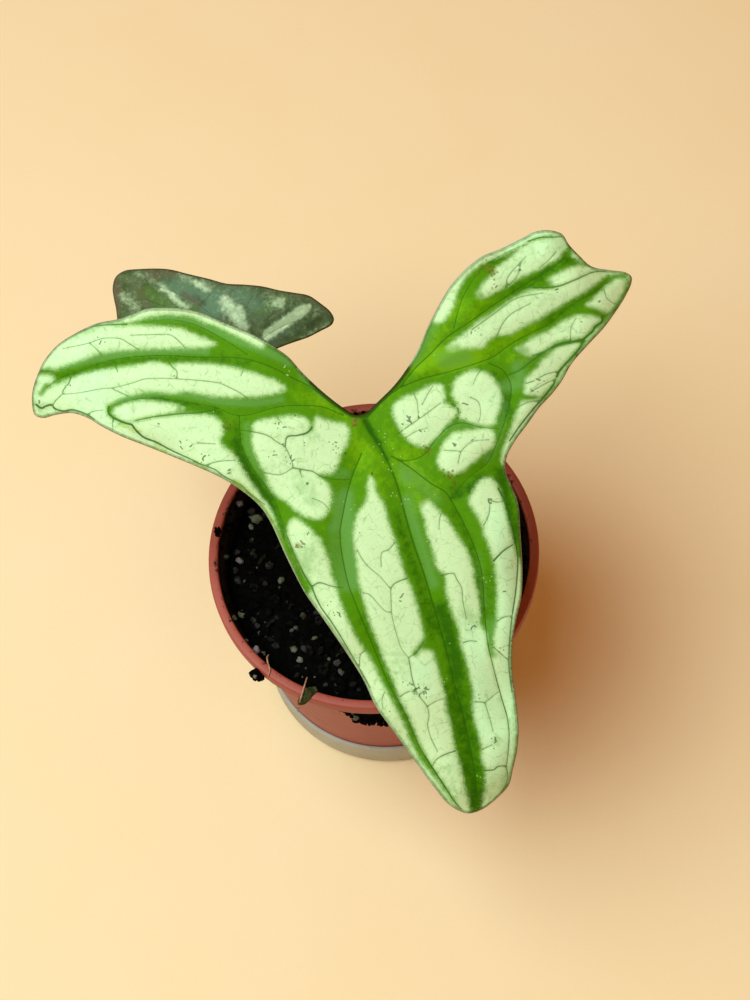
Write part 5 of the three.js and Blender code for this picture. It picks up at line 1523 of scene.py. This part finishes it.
def make_soil(paint):
    """The soil: a crumbly top on a smooth body that fills the pot."""
    foot = DISH_FLOOR + POT_FLOOR + SOIL_GAP
    reach = pot_radius(SOIL_TOP - 3) - POT_WALL - SOIL_GAP
    rings = round(reach / SOIL_SPACING)
    profile = [(0, foot), (pot_radius(foot) - POT_WALL - SOIL_GAP, foot), (reach, SOIL_TOP - 3)]
    profile += [(reach * (1 - i / rings), SOIL_TOP) for i in range(rings)]
    profile += [(0, SOIL_TOP)]

    def crumble(x, y, z):
        if z < SOIL_TOP - 1:
            return (x, y, z)
        rough = 0.75 * noise.noise(Vector((x, y, 0)) / 1.7) + 0.5 * noise.noise(Vector((x, y, 7)) / 0.8)
        edge = min(1, (reach - math.hypot(x, y)) / 2)
        return (x, y, soil_height(x, y) + rough * edge)

    add_piece("soil_bed", *turned(profile, SOIL_SIDES, crumble), paint, "soil", ("soil",))


@functools.cache
def ball():
    """Points and faces of a small round ball, used under every crumb."""
    made = bmesh.new()
    bmesh.ops.create_icosphere(made, subdivisions=2, radius=1)
    points = [tuple(vert.co) for vert in made.verts]
    faces = [[vert.index for vert in face.verts] for face in made.faces]
    made.free()
    return points, faces


def lump(rng, centre, size, stretch=(1, 1, 1), roughness=0.6, chips=1.6):
    """One irregular crumb: a ball pushed in and out by noise, stretched and turned."""
    points, faces = ball()
    turn = Matrix.Rotation(rng.uniform(0, 6.3), 3, "Z") @ Matrix.Rotation(rng.uniform(-0.8, 0.8), 3, "X")
    shift = Vector((rng.uniform(0, 90), rng.uniform(0, 90), rng.uniform(0, 90)))
    made = []
    for point in points:
        push = 1 + roughness * noise.noise(Vector(point) * chips + shift)
        push += 0.35 * roughness * noise.noise(Vector(point) * chips * 3 + shift)
        local = turn @ Vector([point[k] * push * size * stretch[k] for k in range(3)])
        made.append(tuple(local[k] + centre[k] for k in range(3)))
    return made, faces


def gathered(parts):
    """Many small parts as one list of points and faces."""
    points, faces = [], []
    for part_points, part_faces in parts:
        start = len(points)
        points.extend(part_points)
        faces.extend([[i + start for i in face] for face in part_faces])
    return points, faces


def on_soil(rng, margin):
    """A free spot on the soil, away from the stem."""
    reach = pot_radius(SOIL_TOP) - POT_WALL - margin
    while True:
        radius = reach * math.sqrt(rng.random())
        x, y, _ = around(radius, rng.uniform(0, 2 * math.pi), 0)
        if math.dist((x, y), STEM_CENTRE) > STEM_ROOM:
            return x, y


def make_crumbs(paint):
    rng = random.Random(11)
    parts = []
    for _ in range(CRUMBS):
        size = 0.3 + 1.2 * rng.random() ** 2.2
        x, y = on_soil(rng, 1 + size)
        stretch = (1 + 0.4 * rng.random(), 0.8 + 0.3 * rng.random(), 0.7)
        parts.append(lump(rng, (x, y, soil_height(x, y) + 0.25 * size), size, stretch, 0.55))
    piece = add_piece("soil_crumbs", *gathered(parts), paint, "soil")
    store_by_lump(piece, "pale", [rng.random() ** 5 for _ in parts])


def grain_place(x, y, size):
    """Where a grain lies that is seen at x, y: on the soil, or stuck to the lip behind the soil's edge."""
    if math.hypot(x, y) + size < pot_radius(SOIL_TOP) - POT_WALL:
        return x, y, soil_height(x, y) + 0.4 * size
    y -= STUCK_RISE / math.tan(CAMERA_HEIGHT_ANGLE)
    room = min(1, (LIP_INNER - 0.6 * size) / math.hypot(x, y))
    return x * room, y * room, SOIL_TOP + STUCK_RISE


def make_perlite(paint):
    rng = random.Random(23)
    grains = list(PERLITE)
    while len(grains) < len(PERLITE) + HIDDEN_PERLITE:
        x, y = on_soil(rng, 3)
        if x > -4 or y > 24:
            grains.append((x, y, rng.uniform(0.6, 1.2), rng.uniform(0.2, 0.9), rng.random()))
    for _ in range(FINE_PERLITE):
        size = rng.uniform(0.25, 0.45)
        grains.append((*on_soil(rng, 1.5 + size), size, rng.uniform(0.1, 0.5), rng.random()))
    parts = []
    for x, y, size, _, _ in grains:
        parts.append(lump(rng, grain_place(x, y, size), size, (1.15, 0.95, 0.8), chips=1.3))
    piece = add_piece("perlite_grains", *gathered(parts), paint, "soil")
    store_by_lump(piece, "clean", [grain[3] for grain in grains])
    store_by_lump(piece, "lilac", [grain[4] for grain in grains])


def make_bark(paint):
    rng = random.Random(31)
    parts = []
    for _ in range(BARK_BITS):
        size = 0.7 + 1.1 * rng.random()
        x, y = on_soil(rng, 2.5 + size)
        parts.append(lump(rng, (x, y, soil_height(x, y) + 0.4), size, (1.6, 0.7, 0.35), chips=1.9))
    add_piece("bark_bits", *gathered(parts), paint, "soil")


# Stem and stalks

def tube(path, radii, sides):
    """A swept round tube with one radius for each point of the path."""
    centres = [Vector(point) for point in path]
    count = len(centres)
    points, faces = [], []
    across = Vector((1, 0, 0))
    for i, centre in enumerate(centres):
        along = (centres[min(i + 1, count - 1)] - centres[max(i - 1, 0)]).normalized()
        across = (across - along * across.dot(along)).normalized()
        up = along.cross(across)
        for k in range(sides):
            angle = 2 * math.pi * k / sides
            points.append(tuple(centre + (across * math.cos(angle) + up * math.sin(angle)) * radii[i]))
    points += [tuple(centres[0]), tuple(centres[-1])]
    last = (count - 1) * sides
    for k in range(sides):
        j = (k + 1) % sides
        for low in range(0, last, sides):
            high = low + sides
            faces.append((low + k, low + j, high + j, high + k))
        faces.append((len(points) - 2, j, k))
        faces.append((len(points) - 1, last + k, last + j))
    return points, faces


def make_stalk(name, stalk, paint, node):
    path = even_line(stalk["path"], 0.6)
    share = np.linspace(0, 1, len(path))
    foot, top = stalk["radii"]
    radii = foot + (top - foot) * np.sqrt(share)
    radii = radii + STALK_SHEATH * fading(share, 0.05) + STALK_COLLAR * fading(1 - share, 0.05)
    add_piece(name, *tube(path.tolist(), radii.tolist(), STALK_SIDES), paint, "stalk", (node,))


def make_stem(paint):
    profile = smooth_line(STEM_PROFILE, 0.4).tolist()
    profile = [(0, profile[0][1])] + [(max(0.05, r), z) for r, z in profile[1:-1]] + [(0, profile[-1][1])]

    def knobs(x, y, z):
        angle = math.atan2(y, x)
        scar = 0.03 * fading(z - SCAR_HEIGHT - 0.5 * math.sin(angle), 0.35)
        knob = 1 + 0.05 * math.sin(2 * angle + z / 3) + scar + 0.03 * noise.noise(Vector((x, y, z)) / 2.5)
        return (x * knob + STEM_CENTRE[0], y * knob + STEM_CENTRE[1], z)

    add_piece("stem_stub", *turned(profile, STEM_SIDES, knobs), paint, "stem", ("stem",))


# Debris

def wall_crumbs(rng):
    """Soil that clings to the pot's inner wall, up to the lip's inner edge."""
    parts = []
    for _ in range(WALL_CRUMBS):
        angle = rng.uniform(0, 2 * math.pi)
        height = WALL_CRUMBS_TOP - WALL_CRUMBS_DEPTH * rng.random() ** 0.8
        size = rng.uniform(0.3, 0.8)
        inner = LIP_INNER if height > LIP_FOOT + 1 else pot_radius(height) - POT_WALL
        parts.append(lump(rng, around(inner - 0.5 * size, angle, height - size / 2), size, (1, 1, 0.8)))
    return parts


def hanging_soil(rng):
    """The little lump of soil that hangs from the lip's left front."""
    parts = [lump(rng, place, size, stretch, 0.5) for place, size, stretch in HANGING_LUMPS]
    for _ in range(HANGING_CRUMBS):
        place = [c + rng.gauss(0, spread) for c, spread in zip(HANGING_MIDDLE, HANGING_SPREAD)]
        parts.append(lump(rng, place, rng.uniform(0.45, 0.9)))
    return parts


def lip_crumbs(rng):
    parts = []
    for x, y, z, spread, count in LIP_CRUMBS:
        for _ in range(count):
            place = (x + rng.gauss(0, spread), y + rng.gauss(0, spread), z)
            parts.append(lump(rng, place, rng.uniform(0.3, 0.6), (1.1, 0.9, 0.7)))
    return parts


def smear_crumbs(rng):
    """The crumbs of the smear on the pot's wall, fewer towards its edge."""
    parts = []
    while len(parts) < SMEAR_CRUMBS:
        across, up = rng.uniform(-1, 1), rng.uniform(-1, 1)
        if smear_depth(across, up) < rng.random() ** 1.5:
            continue
        angle = math.radians(SMEAR_ANGLE + SMEAR_SPREAD * across)
        height = SMEAR_HEIGHT + SMEAR_REACH * up
        size = rng.uniform(0.25, 0.7)
        place = around(pot_radius(height) + 0.25 * size, angle, height)
        parts.append(lump(rng, place, size, (1.2, 0.9, 0.9)))
    return parts


def strip(path, widths, thickness, bend):
    """A thin curled strip along a path, with one width for each point of the path."""
    points, faces = [], []
    columns = FLAKE_COLUMNS
    for i, place in enumerate(path):
        here = Vector(place)
        along = (Vector(path[min(i + 1, len(path) - 1)]) - Vector(path[max(i - 1, 0)])).normalized()
        outward = Vector((here.x, here.y, 0)).normalized() * 0.6 + Vector((0, 0, 0.8))
        across = along.cross(outward).normalized()
        normal = across.cross(along).normalized()
        for side in (1, -1):
            for share in np.linspace(-1, 1, columns):
                lift = side * thickness / 2 * (1.02 - share * share) - bend * widths[i] * share * share
                points.append(tuple(here + across * share * widths[i] / 2 + normal * lift))
    row = 2 * columns
    for low in range(0, (len(path) - 1) * row, row):
        high = low + row
        for i in range(columns - 1):
            j = i + columns
            faces.append((low + i, low + i + 1, high + i + 1, high + i))
            faces.append((low + j, high + j, high + j + 1, low + j + 1))
        for i, j in ((0, columns), (row - 1, columns - 1)):
            faces.append((low + i, high + i, high + j, low + j))
    return points, faces


def shared(line, shares, sizes):
    """One size for each point of a line, from sizes at shares of its length."""
    return np.interp(np.linspace(0, 1, len(line)), shares, sizes).tolist()


def make_debris(soil_paint, perlite, green, straw):
    """Bits on the rim and the wall: soil, perlite, a green flake and two root fibres."""
    rng = random.Random(5)
    soil = wall_crumbs(rng) + hanging_soil(rng) + lip_crumbs(rng) + smear_crumbs(rng)
    add_piece("debris_soil", *gathered(soil), soil_paint, "soil")
    grains = [lump(rng, *grain) for grain in STRAY_PERLITE]
    piece = add_piece("debris_perlite", *gathered(grains), perlite, "soil")
    store_by_lump(piece, "clean", [0.7] * len(grains))
    store_by_lump(piece, "lilac", [0.3] * len(grains))
    path = even_line(FLAKE, 0.5).tolist()
    flake = strip(path, shared(path, FLAKE_SHARES, FLAKE_WIDTHS), FLAKE_THICKNESS, FLAKE_CURL)
    add_piece("debris_flake", *flake, green, "leaf_dark")
    lines = [even_line(path, 0.5).tolist() for path in FIBRES]
    fibres = [tube(line, shared(line, FIBRE_SHARES, FIBRE_RADII), FIBRE_SIDES) for line in lines]
    add_piece("debris_fibres", *gathered(fibres), straw, "soil")


# Stage, camera and light

def make_stage():
    made = bmesh.new()
    bmesh.ops.create_grid(made, x_segments=FLOOR_STEPS, y_segments=FLOOR_STEPS, size=FLOOR_REACH)
    data = bpy.data.meshes.new("floor")
    made.to_mesh(data)
    made.free()
    data.materials.append(paper_paint())
    floor = bpy.data.objects.new("floor", data)
    bpy.context.scene.collection.objects.link(floor)


def make_camera():
    data = bpy.data.cameras.new("view")
    data.lens = LENS
    data.sensor_width = SENSOR
    data.clip_start = 0.01
    data.clip_end = 50
    back = Vector((0, -math.cos(CAMERA_HEIGHT_ANGLE), math.sin(CAMERA_HEIGHT_ANGLE)))
    level = Vector((1, 0, 0))
    steep = back.cross(level)
    right = level * math.cos(-CAMERA_ROLL) - steep * math.sin(-CAMERA_ROLL)
    up = level * math.sin(-CAMERA_ROLL) + steep * math.cos(-CAMERA_ROLL)
    place = Matrix((right, up, back)).transposed().to_4x4()
    place.translation = (Vector(CAMERA_AIM) + back * CAMERA_DISTANCE) * MM
    camera = bpy.data.objects.new("view", data)
    camera.matrix_world = place
    bpy.context.scene.collection.objects.link(camera)
    bpy.context.scene.camera = camera


def make_light():
    """A large soft lamp above on the left, and a dim warm sky."""
    world = bpy.data.worlds.new("studio")
    world.use_nodes = True
    background = world.node_tree.nodes["Background"]
    background.inputs["Color"].default_value = SKY_COLOR
    background.inputs["Strength"].default_value = SKY_POWER
    bpy.context.scene.world = world
    data = bpy.data.lights.new("key", "AREA")
    data.shape = "DISK"
    data.size = KEY_SIZE
    data.energy = KEY_POWER
    data.color = KEY_COLOR
    light = bpy.data.objects.new("key", data)
    light.location = KEY_PLACE
    light.rotation_euler = (Vector(KEY_AIM) - Vector(KEY_PLACE)).to_track_quat("-Z", "Y").to_euler()
    bpy.context.scene.collection.objects.link(light)


def main():
    bpy.context.scene.view_settings.view_transform = "Standard"
    make_camera()
    make_light()
    make_stage()
    peat = grain_paint("peat", (2, 2, 2), (10, 9, 8), 700, 0.0004)
    crumb = grain_paint("crumb", (2, 2, 2), (12, 12, 10), 700, 0.0004, stray=(58, 54, 54))
    perlite = perlite_paint()
    bark = grain_paint("bark", (10, 10, 7), (40, 42, 28), 700, 0.0003)
    flake_green = grain_paint("flake_green", (20, 26, 11), (72, 78, 44), 330, 0.0002, 0.7)
    root_fibre = grain_paint("root_fibre", (150, 112, 88), (206, 168, 140), 600, 0.0002, 0.8)
    make_dish(plastic_paint("dish_plastic", DISH_COLORS, 0.5))
    make_pot(plastic_paint("pot_plastic", POT_COLORS, 0.52, walled=True))
    make_soil(peat)
    make_crumbs(crumb)
    make_perlite(perlite)
    make_bark(bark)
    stalk = stalk_paint("stalk_skin", STALK_COLORS)
    make_stem(stalk_paint("stem_skin", STEM_COLORS))
    make_stalk("stalk_big", BIG_STALK, stalk, "stalk_large")
    make_stalk("stalk_little", SMALL_STALK, stalk, "stalk_small")
    blade("blade_big", BIG_LEAF, leaf_paint(), "leaf_patterned", "leaf_large")
    blade("blade_little", SMALL_LEAF, dark_leaf_paint(), "leaf_dark", "leaf_small")
    make_debris(peat, perlite, flake_green, root_fibre)


main()
